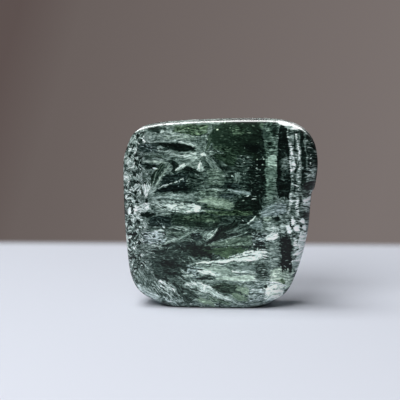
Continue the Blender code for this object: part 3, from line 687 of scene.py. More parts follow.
# A fleck is an oval spot: (middle, half its size across and up, tone).
FLECKS = [
    ((-17.8, 56.7), (0.8, 0.6), 0.58), ((-19.4, 51.4), (0.35, 0.3), 0.6),
    ((-21.3, 50.6), (0.3, 0.25), 0.55), ((-15.5, 50.2), (0.4, 0.25), 0.55),
    ((-9.5, 49.3), (0.6, 0.4), 0.8), ((-7.5, 48.8), (0.5, 0.35), 0.78),
    ((-20, 45.3), (0.9, 0.22), 0.78), ((-12.3, 41.3), (0.25, 0.2), 0.6),
    ((-11.4, 41.7), (0.3, 0.2), 0.6), ((-10.2, 41.4), (0.25, 0.2), 0.5),
    ((-12.5, 39.6), (0.3, 0.2), 0.5), ((-26.8, 42), (1.1, 0.8), 0.5),
    ((-27.5, 50), (0.7, 0.6), 0.1), ((-3.9, 55.6), (0.3, 0.3), 0.62),
    ((-3.6, 54.5), (0.25, 0.3), 0.58), ((-5, 49.6), (1.2, 0.5), 0.86),
    ((-0.6, 57.3), (0.35, 0.35), 0.8), ((1, 59.6), (0.3, 0.25), 0.5), ((3.3, 58), (0.25, 0.2), 0.5),
    ((5.1, 53.9), (0.3, 0.2), 0.42), ((9.2, 56.65), (0.9, 0.16), 0.6),
    ((8, 51.8), (0.25, 0.2), 0.4), ((10.5, 59), (0.5, 0.15), 0.48), ((12, 53.7), (0.3, 0.2), 0.4),
    ((2, 51.4), (0.3, 0.2), 0.4), ((1, 55.4), (0.7, 0.2), 0.42), ((9, 49), (0.3, 0.3), 0.52),
    ((4.1, 42.9), (0.3, 0.3), 0.76), ((11.7, 45.6), (0.3, 0.25), 0.6),
    ((9.2, 45.5), (0.25, 0.2), 0.5), ((7.7, 43.9), (0.3, 0.2), 0.5),
    ((8.5, 43.8), (0.2, 0.2), 0.45), ((8, 39.7), (0.3, 0.2), 0.5), ((7.5, 39.3), (0.25, 0.2), 0.5),
    ((14, 48.3), (0.3, 0.3), 0.6), ((13.6, 49), (0.25, 0.25), 0.55),
    ((11.9, 48.3), (0.25, 0.25), 0.6), ((13.6, 46.8), (0.25, 0.25), 0.55),
    ((12, 46.8), (0.25, 0.25), 0.55), ((12.8, 45), (0.25, 0.25), 0.5),
    ((12.1, 43.3), (1, 0.2), 0.45), ((16.7, 48), (1.4, 1.8), 0.6), ((21, 58.2), (1.2, 0.6), 0.5),
    ((20.3, 45.3), (0.6, 0.2), 0.5), ((26, 57.8), (1.1, 0.9), 0.42),
    ((22.8, 47), (0.7, 0.85), 0.86), ((24.5, 35.3), (0.45, 0.4), 0.86),
    ((26, 45.8), (0.5, 0.5), 0.5), ((27, 54.3), (0.4, 0.3), 0.6), ((28, 55.6), (0.35, 0.3), 0.55),
    ((29.6, 51.1), (0.3, 0.4), 0.5), ((29, 43.9), (0.5, 0.4), 0.62),
    ((26.2, 40.6), (0.4, 0.15), 0.42), ((-15.3, 33.4), (1.7, 0.6), 0.8),
    ((-23.2, 32.6), (0.9, 0.4), 0.92), ((-26, 34.5), (0.8, 0.5), 0.08),
    ((-23, 34.6), (0.6, 0.9), 0.08), ((-24.5, 37.2), (0.35, 0.8), 0.1),
    ((-25, 30.5), (0.5, 0.15), 0.7), ((-17.7, 26.4), (0.35, 0.3), 0.8),
    ((-24.4, 28.7), (0.7, 0.35), 0.75), ((-25.1, 26.1), (0.7, 0.35), 0.75),
    ((-12, 20.5), (0.25, 0.2), 0.5), ((-11.6, 18.5), (0.25, 0.2), 0.48),
    ((-9, 22), (0.3, 0.2), 0.5), ((-27.2, 21.3), (0.35, 0.3), 0.8),
    ((-7.3, 32.6), (1.2, 1.1), 0.88), ((-1, 38), (0.3, 0.2), 0.6), ((-2, 38.9), (0.3, 0.2), 0.6),
    ((6, 38.2), (1.3, 0.35), 0.56), ((10, 38.5), (0.3, 0.2), 0.5), ((7.5, 35.3), (0.3, 0.2), 0.5),
    ((-1.75, 28.3), (0.15, 0.5), 0.5), ((-6.3, 30.1), (0.7, 0.2), 0.5),
    ((-7, 24.3), (0.3, 0.2), 0.5), ((-9.3, 22.3), (0.3, 0.2), 0.5), ((18.5, 29.3), (1.5, 0.9), 0.1),
    ((25.6, 35), (0.45, 1.9), 0.16), ((20.4, 27.5), (1.3, 0.6), 0.66),
    ((21.9, 26.8), (0.9, 1.4), 0.84), ((23.3, 28.9), (0.8, 1.5), 0.9),
    ((26, 29.2), (1.1, 1.1), 0.84), ((22.4, 25.6), (1.2, 0.7), 0.8), ((24.6, 26.4), (1, 1.3), 0.88),
    ((26.7, 26.9), (0.8, 1.4), 0.84), ((20, 25.7), (0.9, 0.6), 0.62),
    ((22.6, 27.7), (0.3, 0.7), 0.1), ((24.7, 28), (0.4, 0.3), 0.1),
    ((23.4, 26.4), (0.25, 0.6), 0.12), ((25.7, 27.4), (0.3, 0.8), 0.12),
    ((23.8, 24.1), (0.75, 0.4), 0.12), ((25.9, 24.2), (0.85, 0.55), 0.84),
    ((24, 20.3), (0.6, 0.2), 0.7), ((23.9, 19.5), (0.6, 0.15), 0.65),
    ((23.9, 18.3), (0.75, 0.25), 0.86), ((23.7, 17), (0.6, 0.2), 0.7),
    ((23.5, 15.5), (0.6, 0.2), 0.65), ((19.8, 21.2), (0.3, 0.12), 0.35),
    ((20.5, 19.2), (0.3, 0.12), 0.35), ((12.7, 23.3), (0.35, 0.3), 0.62),
    ((14, 22.8), (0.35, 0.25), 0.6), ((12.5, 20.2), (0.35, 0.25), 0.6),
    ((10.7, 24.7), (0.3, 0.25), 0.6), ((-12.6, 16.6), (0.25, 0.4), 0.45),
    ((-14.8, 16.5), (0.3, 0.2), 0.45), ((-9.6, 16.5), (0.3, 0.2), 0.5),
    ((-11.5, 18.7), (0.3, 0.2), 0.45), ((-20.8, 14.8), (0.3, 0.2), 0.45),
    ((-24.7, 14), (0.35, 0.3), 0.7), ((-23.5, 15.3), (0.35, 0.25), 0.65),
    ((-28.3, 31.5), (0.8, 1.2), 0.82), ((-26.5, 17), (0.6, 0.3), 0.6),
    ((-26, 11.8), (0.25, 0.25), 0.65), ((-27.2, 11.3), (0.25, 0.25), 0.6),
    ((-25.7, 9.2), (0.3, 0.25), 0.6), ((-18.6, 7.5), (0.6, 0.45), 0.8),
    ((-10.5, 5), (0.8, 0.25), 0.55), ((-9.3, 1.8), (0.7, 0.25), 0.6),
    ((-3.9, 15.4), (1, 0.4), 0.92), ((12, 18.3), (2, 1.1), 0.84), ((7.7, 9.5), (1.2, 0.35), 0.76),
    ((-1.5, 1.4), (0.6, 0.3), 0.76), ((-5, 2.5), (0.6, 0.3), 0.66), ((11, 3.8), (0.35, 0.3), 0.65),
    ((10.5, 7), (0.35, 0.25), 0.62), ((12, 6.5), (0.35, 0.25), 0.62),
    ((14.6, 17.4), (1, 0.28), 0.15), ((17.8, 16.9), (0.8, 0.35), 0.64),
    ((16.8, 12.4), (0.35, 0.25), 0.62), ((19.6, 14.3), (0.3, 0.25), 0.6),
    ((22.3, 15), (0.3, 0.2), 0.6), ((15.2, 6.2), (0.85, 0.6), 0.9),
    ((14.7, 7.8), (0.65, 0.45), 0.2), ((24, 14.5), (1, 1.4), 0.5),
]
# What a plume is like where the lists don't say otherwise.
PLUME_HABIT = dict(
    bend=0.0, contrast=0.09, flecks=0.12, hue=0.0, fray=0.07, soft=0.25, own_grain=True
)
SLIVER_END = 0.1  # half the width of a sliver at each end
SEED_STEP = 7.3  # between the seeds of two plumes, so that no two of them have the same fibres
FRAY_PITCH = 1.8  # fibre bundles for each millimetre across a plume's end
FAN_NARROWEST = 0.5  # how narrow a plume's fibres still draw together at its root
FLECK_SHARPNESS = 2.5  # how steeply a fleck's border falls off, in shares of its size
FLECK_CONTRAST = 0.06


def plume_group():
    """Lays one plume over the stone, which takes up its tone and its fibres where it covers it."""
    tree = bpy.data.node_groups.new("plume", "ShaderNodeTree")
    vectors = ("Place", "Fibre", "Look", "Root", "Along", "Across", "Shape", "Ends")
    for name in (*vectors, "Root Look", "Tip Look"):
        tree.interface.new_socket(name, in_out="INPUT", socket_type="NodeSocketVector")
    for name in ("Length", "Bend", "Spread", "Hue", "Fray", "Seed", "Own Grain", "Splinters"):
        tree.interface.new_socket(name, in_out="INPUT", socket_type="NodeSocketFloat")
    for name in ("Fibre", "Look"):
        tree.interface.new_socket(name, in_out="OUTPUT", socket_type="NodeSocketVector")
    given = tree.nodes.new("NodeGroupInput").outputs

    from_root = vector_maths(tree, "SUBTRACT", given["Place"], given["Root"])
    along = vector_maths(tree, "DOT_PRODUCT", from_root, given["Along"])
    across = vector_maths(tree, "DOT_PRODUCT", from_root, given["Across"])
    bulge = maths(tree, "MULTIPLY", along, maths(tree, "SUBTRACT", 1, along))
    off = maths(tree, "MULTIPLY_ADD", bulge, given["Bend"], across)
    shape = parts_of(tree, given["Shape"])
    straight_width = maths(tree, "MULTIPLY_ADD", along, shape[1], shape[0])
    width = maths(tree, "MULTIPLY_ADD", bulge, shape[2], straight_width)

    strand = maths(tree, "MULTIPLY_ADD", off, FRAY_PITCH, given["Seed"])
    inputs = {"W": strand, "Scale": 1.0, "Detail": 1.0}
    uneven = add_node(tree, "ShaderNodeTexNoise", inputs, noise_dimensions="1D").outputs[0]
    shift = maths(tree, "SUBTRACT", uneven, 0.5)
    frayed = maths(tree, "MULTIPLY_ADD", shift, given["Fray"], along)
    ends = parts_of(tree, given["Ends"])
    after_root = maths(tree, "MULTIPLY", frayed, ends[0])
    before_tip = maths(tree, "MULTIPLY", maths(tree, "SUBTRACT", 1, frayed), ends[1])
    inside = maths(tree, "SUBTRACT", width, maths(tree, "ABSOLUTE", off))
    within = maths(tree, "MINIMUM", after_root, before_tip)
    smooth_cover = maths(tree, "MINIMUM", within, maths(tree, "MULTIPLY", inside, ends[2]))
    cover = maths(tree, "ADD", smooth_cover, given["Splinters"])

    spread_width = maths(tree, "ADD", maths(tree, "MAXIMUM", width, 0), given["Spread"])
    fan = maths(tree, "DIVIDE", off, spread_width)
    fibre_along = maths(tree, "MULTIPLY_ADD", along, given["Length"], given["Seed"])
    doubled = maths(tree, "MULTIPLY", given["Spread"], 2)
    fibre_across = maths(tree, "MULTIPLY_ADD", fan, doubled, given["Seed"])
    fibre = from_parts(tree, fibre_along, fibre_across, given["Hue"])
    taken = maths(tree, "GREATER_THAN", maths(tree, "MULTIPLY", cover, given["Own Grain"]), 0.5)
    look = vector_between(tree, given["Root Look"], given["Tip Look"], along)
    made = tree.nodes.new("NodeGroupOutput").inputs
    tree.links.new(vector_between(tree, given["Fibre"], fibre, taken), made["Fibre"])
    tree.links.new(vector_between(tree, given["Look"], look, cover), made["Look"])
    return tree


def fleck_group():
    """Lays one oval fleck over the stone, which only takes up its tone."""
    tree = bpy.data.node_groups.new("fleck", "ShaderNodeTree")
    for name in ("Place", "Look", "Middle", "Fineness", "Fleck Look"):
        tree.interface.new_socket(name, in_out="INPUT", socket_type="NodeSocketVector")
    tree.interface.new_socket("Splinters", in_out="INPUT", socket_type="NodeSocketFloat")
    tree.interface.new_socket("Look", in_out="OUTPUT", socket_type="NodeSocketVector")
    given = tree.nodes.new("NodeGroupInput").outputs
    from_middle = vector_maths(tree, "SUBTRACT", given["Place"], given["Middle"])
    in_widths = vector_maths(tree, "MULTIPLY", from_middle, given["Fineness"])
    far = vector_maths(tree, "LENGTH", in_widths)
    smooth_cover = maths(tree, "MULTIPLY_ADD", far, -FLECK_SHARPNESS, FLECK_SHARPNESS)
    cover = maths(tree, "ADD", smooth_cover, given["Splinters"])
    look = vector_between(tree, given["Look"], given["Fleck Look"], cover)
    tree.links.new(look, tree.nodes.new("NodeGroupOutput").inputs["Look"])
    return tree


def plume_values(plume, seed):
    """The inputs of the plume group for one plume of the lists above."""
    root, tip, half_widths, tones = plume[:4]
    if not isinstance(half_widths, tuple):
        half_widths = (SLIVER_END, half_widths, SLIVER_END)
    if not isinstance(tones, tuple):
        tones = (tones, tones)
    habit = {**PLUME_HABIT, **(plume[4] if len(plume) > 4 else {})}
    run = Vector(tip) - Vector(root)
    bulge = half_widths[1] - (half_widths[0] + half_widths[2]) / 2
    sharpness = 1 / habit["soft"]
    rest_of_look = (habit["contrast"], habit["flecks"])
    return {
        "Root": (*root, 0),
        "Along": (*(run / run.length_squared), 0),
        "Across": (-run.y / run.length, run.x / run.length, 0),
        "Shape": (half_widths[0], half_widths[2] - half_widths[0], 4 * bulge),
        "Ends": (run.length * sharpness / 2, run.length * sharpness / 2, sharpness),
        "Root Look": (tones[0], *rest_of_look),
        "Tip Look": (tones[1], *rest_of_look),
        "Length": run.length,
        "Bend": -4 * habit["bend"],
        "Spread": max(half_widths) + FAN_NARROWEST,
        "Hue": habit["hue"],
        "Fray": 2 * habit["fray"],
        "Seed": seed,
        "Own Grain": float(habit["own_grain"]),
    }


# Lengths in the stone are millimetres, and a pitch is how many changes there are in one of them.
MILLIMETRES = 1000  # in the metre of the object's own coordinates
NOISE_ROUGHNESS = 0.55
DRIFT_PITCH = 0.07  # of how the pattern shifts with the depth behind the front face
DRIFT_MIDDLE = (0.62, 0.0, 0.40)  # the noise at which it doesn't shift; off 0.5, so that it leans
WOBBLE_PITCH = 0.28  # of how the fibres and the borders wander
WOBBLE_DETAIL = 1.5
WOBBLE = 1.7  # how far they do
FLAKE_PITCH = 0.8
FLAKE_TONES = (0.08, 0.56)
FLAKE_LOOK = (0.14, 0.4)  # their contrast and their flecks
FLAKES_END = (-21.0, -19.0)  # how far right there are flakes alone, and flakes at all
FLAKES_END_PITCH = 0.35
FLAKES_END_WANDER = 8.0  # how far to the left of that their end can lie
GROUND_LOOK = (0.34, 0.10, 0.2)  # tone, contrast and flecks between all plumes
SPLINTER_PITCH = 1.6
SPLINTER_STRETCH = 0.45  # splinters are longer across the stone than up
SPLINTER_REACH = 1.3  # how far they cross a border, in shares of its softness


def noise(tree, place, pitch, detail=1.0, dimensions="3D"):
    """The number and the colour of a noise, both about 0.5."""
    inputs = {"Vector": place, "Scale": pitch, "Detail": detail, "Roughness": NOISE_ROUGHNESS}
    return add_node(tree, "ShaderNodeTexNoise", inputs, noise_dimensions=dimensions).outputs


def about_zero(tree, number, reach):
    """A noise that runs from 0 to 1, spread from minus the reach to the reach."""
    return maths(tree, "MULTIPLY_ADD", number, 2 * reach, -reach)


def map_range(tree, value, start, end, low, high, smooth=False):
    """A number carried over from one range to another, and held at its ends."""
    kind = "SMOOTHSTEP" if smooth else "LINEAR"
    inputs = {0: value, 1: start, 2: end, 3: low, 4: high}
    return add_node(tree, "ShaderNodeMapRange", inputs, interpolation_type=kind).outputs[0]


def place_in_pattern(tree, solid_place, solid_depth):
    """Where a point of the stone lies in the pattern, across and up, which drifts with depth."""
    front = THICKNESS * MILLIMETRES / 2
    depth = maths(tree, "MAXIMUM", maths(tree, "ADD", solid_depth, front), 0)
    slow = noise(tree, solid_place, DRIFT_PITCH)[1]
    drift = vector_maths(tree, "SUBTRACT", slow, DRIFT_MIDDLE)
    quick = noise(tree, solid_place, WOBBLE_PITCH, WOBBLE_DETAIL)[1]
    wobble = vector_maths(tree, "SUBTRACT", quick, (0.5, 0.5, 0.5))
    drifted = vector_maths(tree, "ADD", solid_place, scaled(tree, drift, depth))
    bent = parts_of(tree, vector_maths(tree, "ADD", drifted, scaled(tree, wobble, WOBBLE)))
    return bent[0], bent[2]


def flakes(tree, across, up):
    """The fibres and the tones of small flakes that lie at all angles."""
    inputs = {"Vector": from_parts(tree, across, up, 0), "Scale": FLAKE_PITCH}
    cells = add_node(tree, "ShaderNodeTexVoronoi", inputs, voronoi_dimensions="2D")
    chance = parts_of(tree, cells.outputs["Color"])
    angle = maths(tree, "MULTIPLY", chance[0], 2 * math.pi)
    turned_across = maths(tree, "MULTIPLY", across, maths(tree, "COSINE", angle))
    turned_up = maths(tree, "MULTIPLY", up, maths(tree, "COSINE", angle))
    along = maths(tree, "MULTIPLY_ADD", up, maths(tree, "SINE", angle), turned_across)
    sideways = maths(tree, "MULTIPLY", across, maths(tree, "SINE", angle))
    fibre = from_parts(tree, along, maths(tree, "SUBTRACT", turned_up, sideways), 0)
    return fibre, map_range(tree, chance[1], 0.0, 1.0, *FLAKE_TONES)


def laid_pattern(tree, solid_place, across, up):
    """The place in the pattern, the fibre and the look that all plumes and flecks leave there.

    Between the plumes the fibres lie level, but at the left edge small flakes lie at all angles.
    Splinters make the borders of the plumes and the flecks uneven.
    """
    flake, flake_tone = flakes(tree, across, up)
    flake_look = from_parts(tree, flake_tone, *FLAKE_LOOK)
    wander = noise(tree, solid_place, FLAKES_END_PITCH)[0]
    from_end = maths(tree, "MULTIPLY_ADD", wander, FLAKES_END_WANDER, across)
    in_flakes = map_range(tree, from_end, *FLAKES_END, 1.0, 0.0)
    level = from_parts(tree, maths(tree, "MULTIPLY", across, SPLINTER_STRETCH), up, 0)
    uneven = parts_of(tree, noise(tree, level, SPLINTER_PITCH, 2.0, "2D")[1])[0]
    splinters = about_zero(tree, uneven, SPLINTER_REACH)

    # A render works nodes out in the order they were made in, as far as their inputs are ready,
    # and has room for few results at once. So all that the plumes need is made before them. They
    # use two numbers of the place, and the third one makes them wait until the flakes are ready.
    place = from_parts(tree, across, up, flake_tone)
    fibre = from_parts(tree, across, up, 0)
    look = GROUND_LOOK
    kind = "ShaderNodeGroup"
    group = plume_group()
    plumes = [*GROUND, *UPPER_LEFT, *UPPER_MIDDLE, *MIDDLE_LEFT, *CENTRE, *LOWER_LEFT]
    plumes += [*LOWER_MIDDLE, *RIGHT_MIDDLE, *LOWER_RIGHT]
    for number, plume in enumerate([*plumes, *BANDS]):
        if number == len(GROUND):
            fibre = vector_between(tree, fibre, flake, in_flakes)
            look = vector_between(tree, look, flake_look, in_flakes)
        values = plume_values(plume, SEED_STEP * number)
        if number >= len(plumes):
            values["Own Grain"] = 0.0  # a band only takes up the tone
        given = {"Place": place, "Fibre": fibre, "Look": look, "Splinters": splinters}
        laid = add_node(tree, kind, {**given, **values}, node_tree=group).outputs
        fibre, look = laid["Fibre"], laid["Look"]
    group = fleck_group()
    for middle, half_size, tone in FLECKS:
        values = {
            "Place": place,
            "Look": look,
            "Splinters": splinters,
            "Middle": (*middle, 0),
            "Fineness": (1 / half_size[0], 1 / half_size[1], 0),
            "Fleck Look": (tone, FLECK_CONTRAST, 0),
        }
        look = add_node(tree, kind, values, node_tree=group).outputs["Look"]
    return place, fibre, look


# The silk is made of strands, finer hairs in them and short bright dashes, all along the fibres,
# and of specks. A fineness is (pitch along, pitch across, none), and a strength is for contrast 1.
STRAND_FINENESS = (0.28, 1.6, 0)
STRAND_STRENGTH = 4.0
HAIR_FINENESS = (0.9, 4.0, 0)
HAIR_STRENGTH = 3.0
DASH_FINENESS = (0.9, 2.6, 0)
DASH_BORDER = (0.72, 0.84)  # the noise at which a dash starts, and at which it is at its brightest
SPECK_PITCH = 1.0
SPECK_STRENGTH = 2.0
TONE_GAIN = 1.2  # the tones of the lists are spread by this, and then darkened
DARKENING = 0.075
LOWER_PAINTED_SHADE = 0.045  # painted shade: how much darker still the stone is low down, to offset the pale floor mirrored in its polish there
PAINTED_SHADE_BORDER = (17.0, 27.0)  # the heights between which the painted shade ends


def silky_tone(tree, place, fibre, look, height):
    """The tone of the stone, with its silk and its flecks."""
    strand = vector_maths(tree, "MULTIPLY", fibre, STRAND_FINENESS)
    hair = vector_maths(tree, "MULTIPLY", fibre, HAIR_FINENESS)
    dash = vector_maths(tree, "MULTIPLY", fibre, DASH_FINENESS)
    strands = about_zero(tree, noise(tree, strand, 1.0, 2.0, "2D")[0], STRAND_STRENGTH)
    hairs = about_zero(tree, noise(tree, hair, 1.0, 1.0, "2D")[0], HAIR_STRENGTH)
    specks = about_zero(tree, noise(tree, place, SPECK_PITCH, 2.0, "2D")[0], SPECK_STRENGTH)
    dashes = noise(tree, dash, 1.0, 0.0, "2D")[0]
    bright = map_range(tree, dashes, *DASH_BORDER, 0.0, 1.0)
    tone, contrast, flecks = parts_of(tree, look)
    uneven_silk = maths(tree, "ADD", maths(tree, "ADD", strands, hairs), specks)
    silk = maths(tree, "MULTIPLY", uneven_silk, contrast)
    silky = maths(tree, "ADD", tone, silk)
    flecked = maths(tree, "MULTIPLY_ADD", bright, flecks, silky)
    # Low down the tone is darkened further by painted shade, which offsets the pale floor mirrored
    # in the polish.
    lowest = -DARKENING - LOWER_PAINTED_SHADE
    darkening_and_painted_shade = map_range(tree, height, *PAINTED_SHADE_BORDER, lowest, -DARKENING)
    return maths(tree, "MULTIPLY_ADD", flecked, TONE_GAIN, darkening_and_painted_shade, clamp=True)


# What the stone's tones look like, from black to silvery white, as shares of the light. The six
# from 0.27 to 0.84 are measured mean colours of the real stone, and the others are chosen.
TONE_COLOURS = [
    (0.00, (0.0020, 0.0035, 0.0030)),
    (0.12, (0.0080, 0.0160, 0.0130)),
    (0.20, (0.0200, 0.0370, 0.0310)),
    (0.27, (0.0423, 0.0685, 0.0595)),
    (0.37, (0.0844, 0.1221, 0.1095)),
    (0.49, (0.1620, 0.2159, 0.2015)),
    (0.61, (0.2705, 0.3419, 0.3185)),
    (0.73, (0.4125, 0.4969, 0.4793)),
    (0.84, (0.5906, 0.6795, 0.6795)),
    (1.00, (0.8500, 0.9200, 0.9000)),
]
LIGHT_ON_FACE = 0.76  # how bright a white front face is in this light, which the colours allow for
WHITEST = 0.92  # no part of the stone gives back a larger share
# What a hue of 1 and a hue of -1 tint the stone with.
OLIVE = (0.93, 1.06, 0.70, 1)
BLUISH = (0.98, 0.97, 1.13, 1)
# Two stretches of the front are greener: (middle, reach across and up, tint).
GREENER = [
    ((-1.0, 0.0, 34.0), (20.0, 34.0), (0.975, 1.045, 0.97, 1)),
    ((16.0, 0.0, 48.0), (2.8, 15.0), (0.92, 1.04, 0.93, 1)),
]
GREENER_BORDER = (0.6, 1.15)  # in shares of the reach: where the tint starts to fade and ends
POLISH = {
    "Roughness": 0.45,
    "Specular IOR Level": 0.05,
    "Coat Weight": 0.6,
    "Coat Roughness": 0.07,
    "Coat IOR": 1.38,
}


def tinted(tree, colour, tint, share):
    """A colour, multiplied by a share of a tint."""
    inputs = {0: share, 6: colour, 7: tint}
    node = add_node(tree, "ShaderNodeMix", inputs, data_type="RGBA", blend_type="MULTIPLY")
    return node.outputs[2]


def stone_colour(tree, tone, fibre, solid_place):
    """The colour of a tone, which leans to olive or blue with the hue that its fibre carries."""
    ramp = tree.nodes.new("ShaderNodeValToRGB")
    stops = ramp.color_ramp.elements
    for number, (at, colour) in enumerate(TONE_COLOURS):
        stop = stops[number] if number < 2 else stops.new(at)
        stop.position = at
        stop.color = (*(min(share / LIGHT_ON_FACE, WHITEST) for share in colour), 1)
    tree.links.new(tone, ramp.inputs[0])
    hue = parts_of(tree, fibre)[2]
    colour = tinted(tree, ramp.outputs[0], OLIVE, maths(tree, "MAXIMUM", hue, 0))
    blueness = maths(tree, "MAXIMUM", maths(tree, "MULTIPLY", hue, -1), 0)
    colour = tinted(tree, colour, BLUISH, blueness)
    for middle, reach, green in GREENER:
        from_middle = vector_maths(tree, "SUBTRACT", solid_place, middle)
        fineness = (1 / reach[0], 0.0, 1 / reach[1])
        far = vector_maths(tree, "LENGTH", vector_maths(tree, "MULTIPLY", from_middle, fineness))
        colour = tinted(tree, colour, green, map_range(tree, far, *GREENER_BORDER, 1.0, 0.0))
    return colour


def seraphinite():
    """The stone: its pattern, its silky fibres and the clear polish over them."""
    stone = bpy.data.materials.new("polished seraphinite")
    stone.use_nodes = True
    tree = stone.node_tree
    shader = tree.nodes["Principled BSDF"]
    object_place = add_node(tree, "ShaderNodeTexCoord").outputs["Object"]
    solid_place = scaled(tree, object_place, MILLIMETRES)
    solid = parts_of(tree, solid_place)
    across, up = place_in_pattern(tree, solid_place, solid[1])
    place, fibre, look = laid_pattern(tree, solid_place, across, up)
    tone = silky_tone(tree, place, fibre, look, solid[2])
    colour = stone_colour(tree, tone, fibre, solid_place)
    tree.links.new(colour, shader.inputs["Base Color"])
    for name, value in POLISH.items():
        shader.inputs[name].default_value = value
    return stone


blank = bpy.data.objects.new("outline", outline_curve())
bpy.context.scene.collection.objects.link(blank)
cutting = blank.modifiers.new("cut and polish", "NODES")
cutting.node_group = slab_tree()
cutting_sizes = {
    "Thickness": THICKNESS,
    "Edge Reach": EDGE_REACH,
    "Edge Depth": EDGE_DEPTH,
    "Face Crown": FACE_CROWN,
    "Foot Grind": FOOT_GRIND,
    "Face Wave": POLISH_WAVE,
    "Edge Wave": EDGE_WAVE,
    "Stone": seraphinite(),
}
for socket in cutting.node_group.interface.items_tree:
    if socket.name in cutting_sizes:
        cutting[socket.identifier] = cutting_sizes[socket.name]
graph = bpy.context.evaluated_depsgraph_get()
slab_mesh = bpy.data.meshes.new_from_object(blank.evaluated_get(graph))
slab_mesh.materials.pop(index=0)
bpy.data.objects.remove(blank)

slab = bpy.data.objects.new("seraphinite_slab", slab_mesh)
bpy.context.scene.collection.objects.link(slab)
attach(slab, "root")
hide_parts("slab")


# The floor is a plain table top with matt pale paint, which ends a little behind the slab and
# before it. Both ends go out of sight softly, because they lie out of focus.
FLOOR_FRONT = -0.170
FLOOR_BACK = 0.1145
FLOOR_SLANT = 0.045  # how much farther its back edge lies for each metre to the right
FRONT_FADE = 0.055  # how deep the strips are over which its near and far edges go out of sight
BACK_FADE = 0.019
FLOOR_HALF_WIDTH = 0.6  # beyond the picture on both sides
FLOOR_COLOUR = (0.70, 0.73, 0.81, 1)


def floor_material():
    """Matt paint that fades from sight at both ends of the floor."""
    paint = bpy.data.materials.new("pale table top")
    paint.use_nodes = True
    tree = paint.node_tree
    shader = tree.nodes["Principled BSDF"]
    shader.inputs["Base Color"].default_value = FLOOR_COLOUR
    shader.inputs["Roughness"].default_value = 0.9
    shader.inputs["Specular IOR Level"].default_value = 0.0
    place = parts_of(tree, add_node(tree, "ShaderNodeTexCoord").outputs["Object"])
    along_edge = maths(tree, "MULTIPLY_ADD", place[0], -FLOOR_SLANT, place[1])
    far = map_range(tree, along_edge, FLOOR_BACK - BACK_FADE, FLOOR_BACK, 1.0, 0.0, smooth=True)
    near = map_range(tree, place[1], FLOOR_FRONT, FLOOR_FRONT + FRONT_FADE, 0.0, 1.0, smooth=True)
    tree.links.new(maths(tree, "MULTIPLY", near, far), shader.inputs["Alpha"])
    return paint


floor_mesh = bpy.data.meshes.new("floor")
back_shift = FLOOR_SLANT * FLOOR_HALF_WIDTH
floor_corners = [
    (-FLOOR_HALF_WIDTH, FLOOR_FRONT, 0.0),
    (FLOOR_HALF_WIDTH, FLOOR_FRONT, 0.0),
    (FLOOR_HALF_WIDTH, FLOOR_BACK + back_shift, 0.0),
    (-FLOOR_HALF_WIDTH, FLOOR_BACK - back_shift, 0.0),
]
floor_mesh.from_pydata(floor_corners, [], [(0, 1, 2, 3)])
floor_mesh.materials.append(floor_material())
floor = bpy.data.objects.new("floor", floor_mesh)
bpy.context.scene.collection.objects.link(floor)


# Soft studio light: a panel high at the left, a broad one from the front left, one behind the
# stone that is only seen mirrored in its upper edge, and a dim grey room.
BACKDROP_COLOURS = [(0.110, 0.084, 0.079, 1), (0.142, 0.117, 0.110, 1), (0.196, 0.167, 0.159, 1)]
BACKDROP_STEPS = (-0.185, -0.145, 0.085)  # how far right of the middle each of them is reached
BACKDROP_LEAN = -0.30  # how much farther to the right the same colour lies, higher up
ROOM_GREYS = (0.01, 0.07)  # level with the slab, and straight above it


def panel(name, azimuth, elevation, distance, size, power, lights=True, mirrored=True):
    """A softbox that looks at the slab from the given side and height."""
    turn = math.radians(azimuth)
    rise = math.radians(elevation)
    level = math.cos(rise)
    side = Vector((math.sin(turn) * level, -math.cos(turn) * level, math.sin(rise)))
    light = bpy.data.lights.new(name, "AREA")
    light.shape = "RECTANGLE"
    light.size, light.size_y = size
    light.energy = power
    lamp = bpy.data.objects.new(name, light)
    lamp.visible_diffuse = lights
    lamp.visible_glossy = mirrored
    lamp.location = Vector((0, 0, HEIGHT / 2)) + side * distance
    lamp.rotation_mode = "QUATERNION"
    lamp.rotation_quaternion = side.to_track_quat("Z", "Y")
    bpy.context.scene.collection.objects.link(lamp)


panel(
    "key", azimuth=-82, elevation=71, distance=0.90, size=(0.43, 0.43), power=4.5, mirrored=False
)
panel(
    "rim", azimuth=180, elevation=36, distance=0.50, size=(0.50, 0.28), power=3.6, lights=False
)
panel(
    "front fill", azimuth=-26, elevation=43, distance=1.10, size=(0.72, 0.60), power=9.2,
    mirrored=False,
)


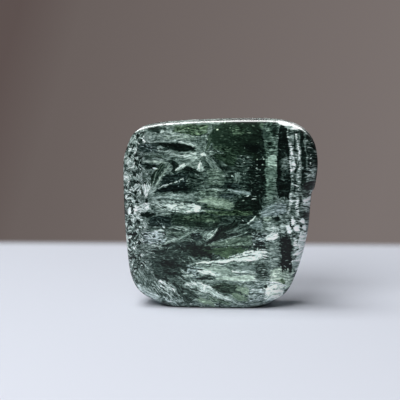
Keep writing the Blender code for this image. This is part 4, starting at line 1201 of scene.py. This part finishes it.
def room():
    """A plain brownish grey backdrop for the camera, and a dark room for all other rays."""
    world = bpy.data.worlds.new("room")
    world.use_nodes = True
    tree = world.node_tree
    direction = parts_of(tree, add_node(tree, "ShaderNodeTexCoord").outputs["Generated"])
    # The backdrop grows darker towards its upper left corner.
    lit = maths(tree, "MULTIPLY_ADD", direction[2], BACKDROP_LEAN, direction[0])
    backdrop = BACKDROP_COLOURS[0]
    for start, end, colour in zip(BACKDROP_STEPS, BACKDROP_STEPS[1:], BACKDROP_COLOURS[1:]):
        inputs = {0: map_range(tree, lit, start, end, 0.0, 1.0), 6: backdrop, 7: colour}
        backdrop = add_node(tree, "ShaderNodeMix", inputs, data_type="RGBA").outputs[2]
    height = map_range(tree, direction[2], 0.0, 1.0, *ROOM_GREYS)
    seen = add_node(tree, "ShaderNodeLightPath").outputs["Is Camera Ray"]
    grey = add_node(tree, "ShaderNodeCombineColor", {0: height, 1: height, 2: height}).outputs[0]
    inputs = {0: seen, 6: grey, 7: backdrop}
    colour = add_node(tree, "ShaderNodeMix", inputs, data_type="RGBA").outputs[2]
    tree.links.new(colour, tree.nodes["Background"].inputs["Color"])
    return world


bpy.context.scene.world = room()


# The camera stands a little to the right of the slab's middle and looks slightly down on it,
# through a long lens. Its place and its angle were fitted to the slab's outline and top edge.
CAMERA_AIM = Vector((-0.00664, 0.0, 0.03401))
CAMERA_AZIMUTH = math.radians(4.5)
CAMERA_ELEVATION = math.radians(9.0)
CAMERA_DISTANCE = 0.4858
CAMERA_ANGLE = math.radians(15.0)

camera_level = math.cos(CAMERA_ELEVATION)
camera_side = Vector((
    math.sin(CAMERA_AZIMUTH) * camera_level,
    -math.cos(CAMERA_AZIMUTH) * camera_level,
    math.sin(CAMERA_ELEVATION),
))
camera_data = bpy.data.cameras.new("camera")
camera_data.sensor_fit = "HORIZONTAL"
camera_data.angle = CAMERA_ANGLE
camera_data.clip_start = 0.01
camera = bpy.data.objects.new("camera", camera_data)
camera.location = CAMERA_AIM + camera_side * CAMERA_DISTANCE
camera.rotation_mode = "QUATERNION"
camera.rotation_quaternion = camera_side.to_track_quat("Z", "Y")
bpy.context.scene.collection.objects.link(camera)
bpy.context.scene.camera = camera
bpy.context.scene.view_settings.view_transform = "Standard"
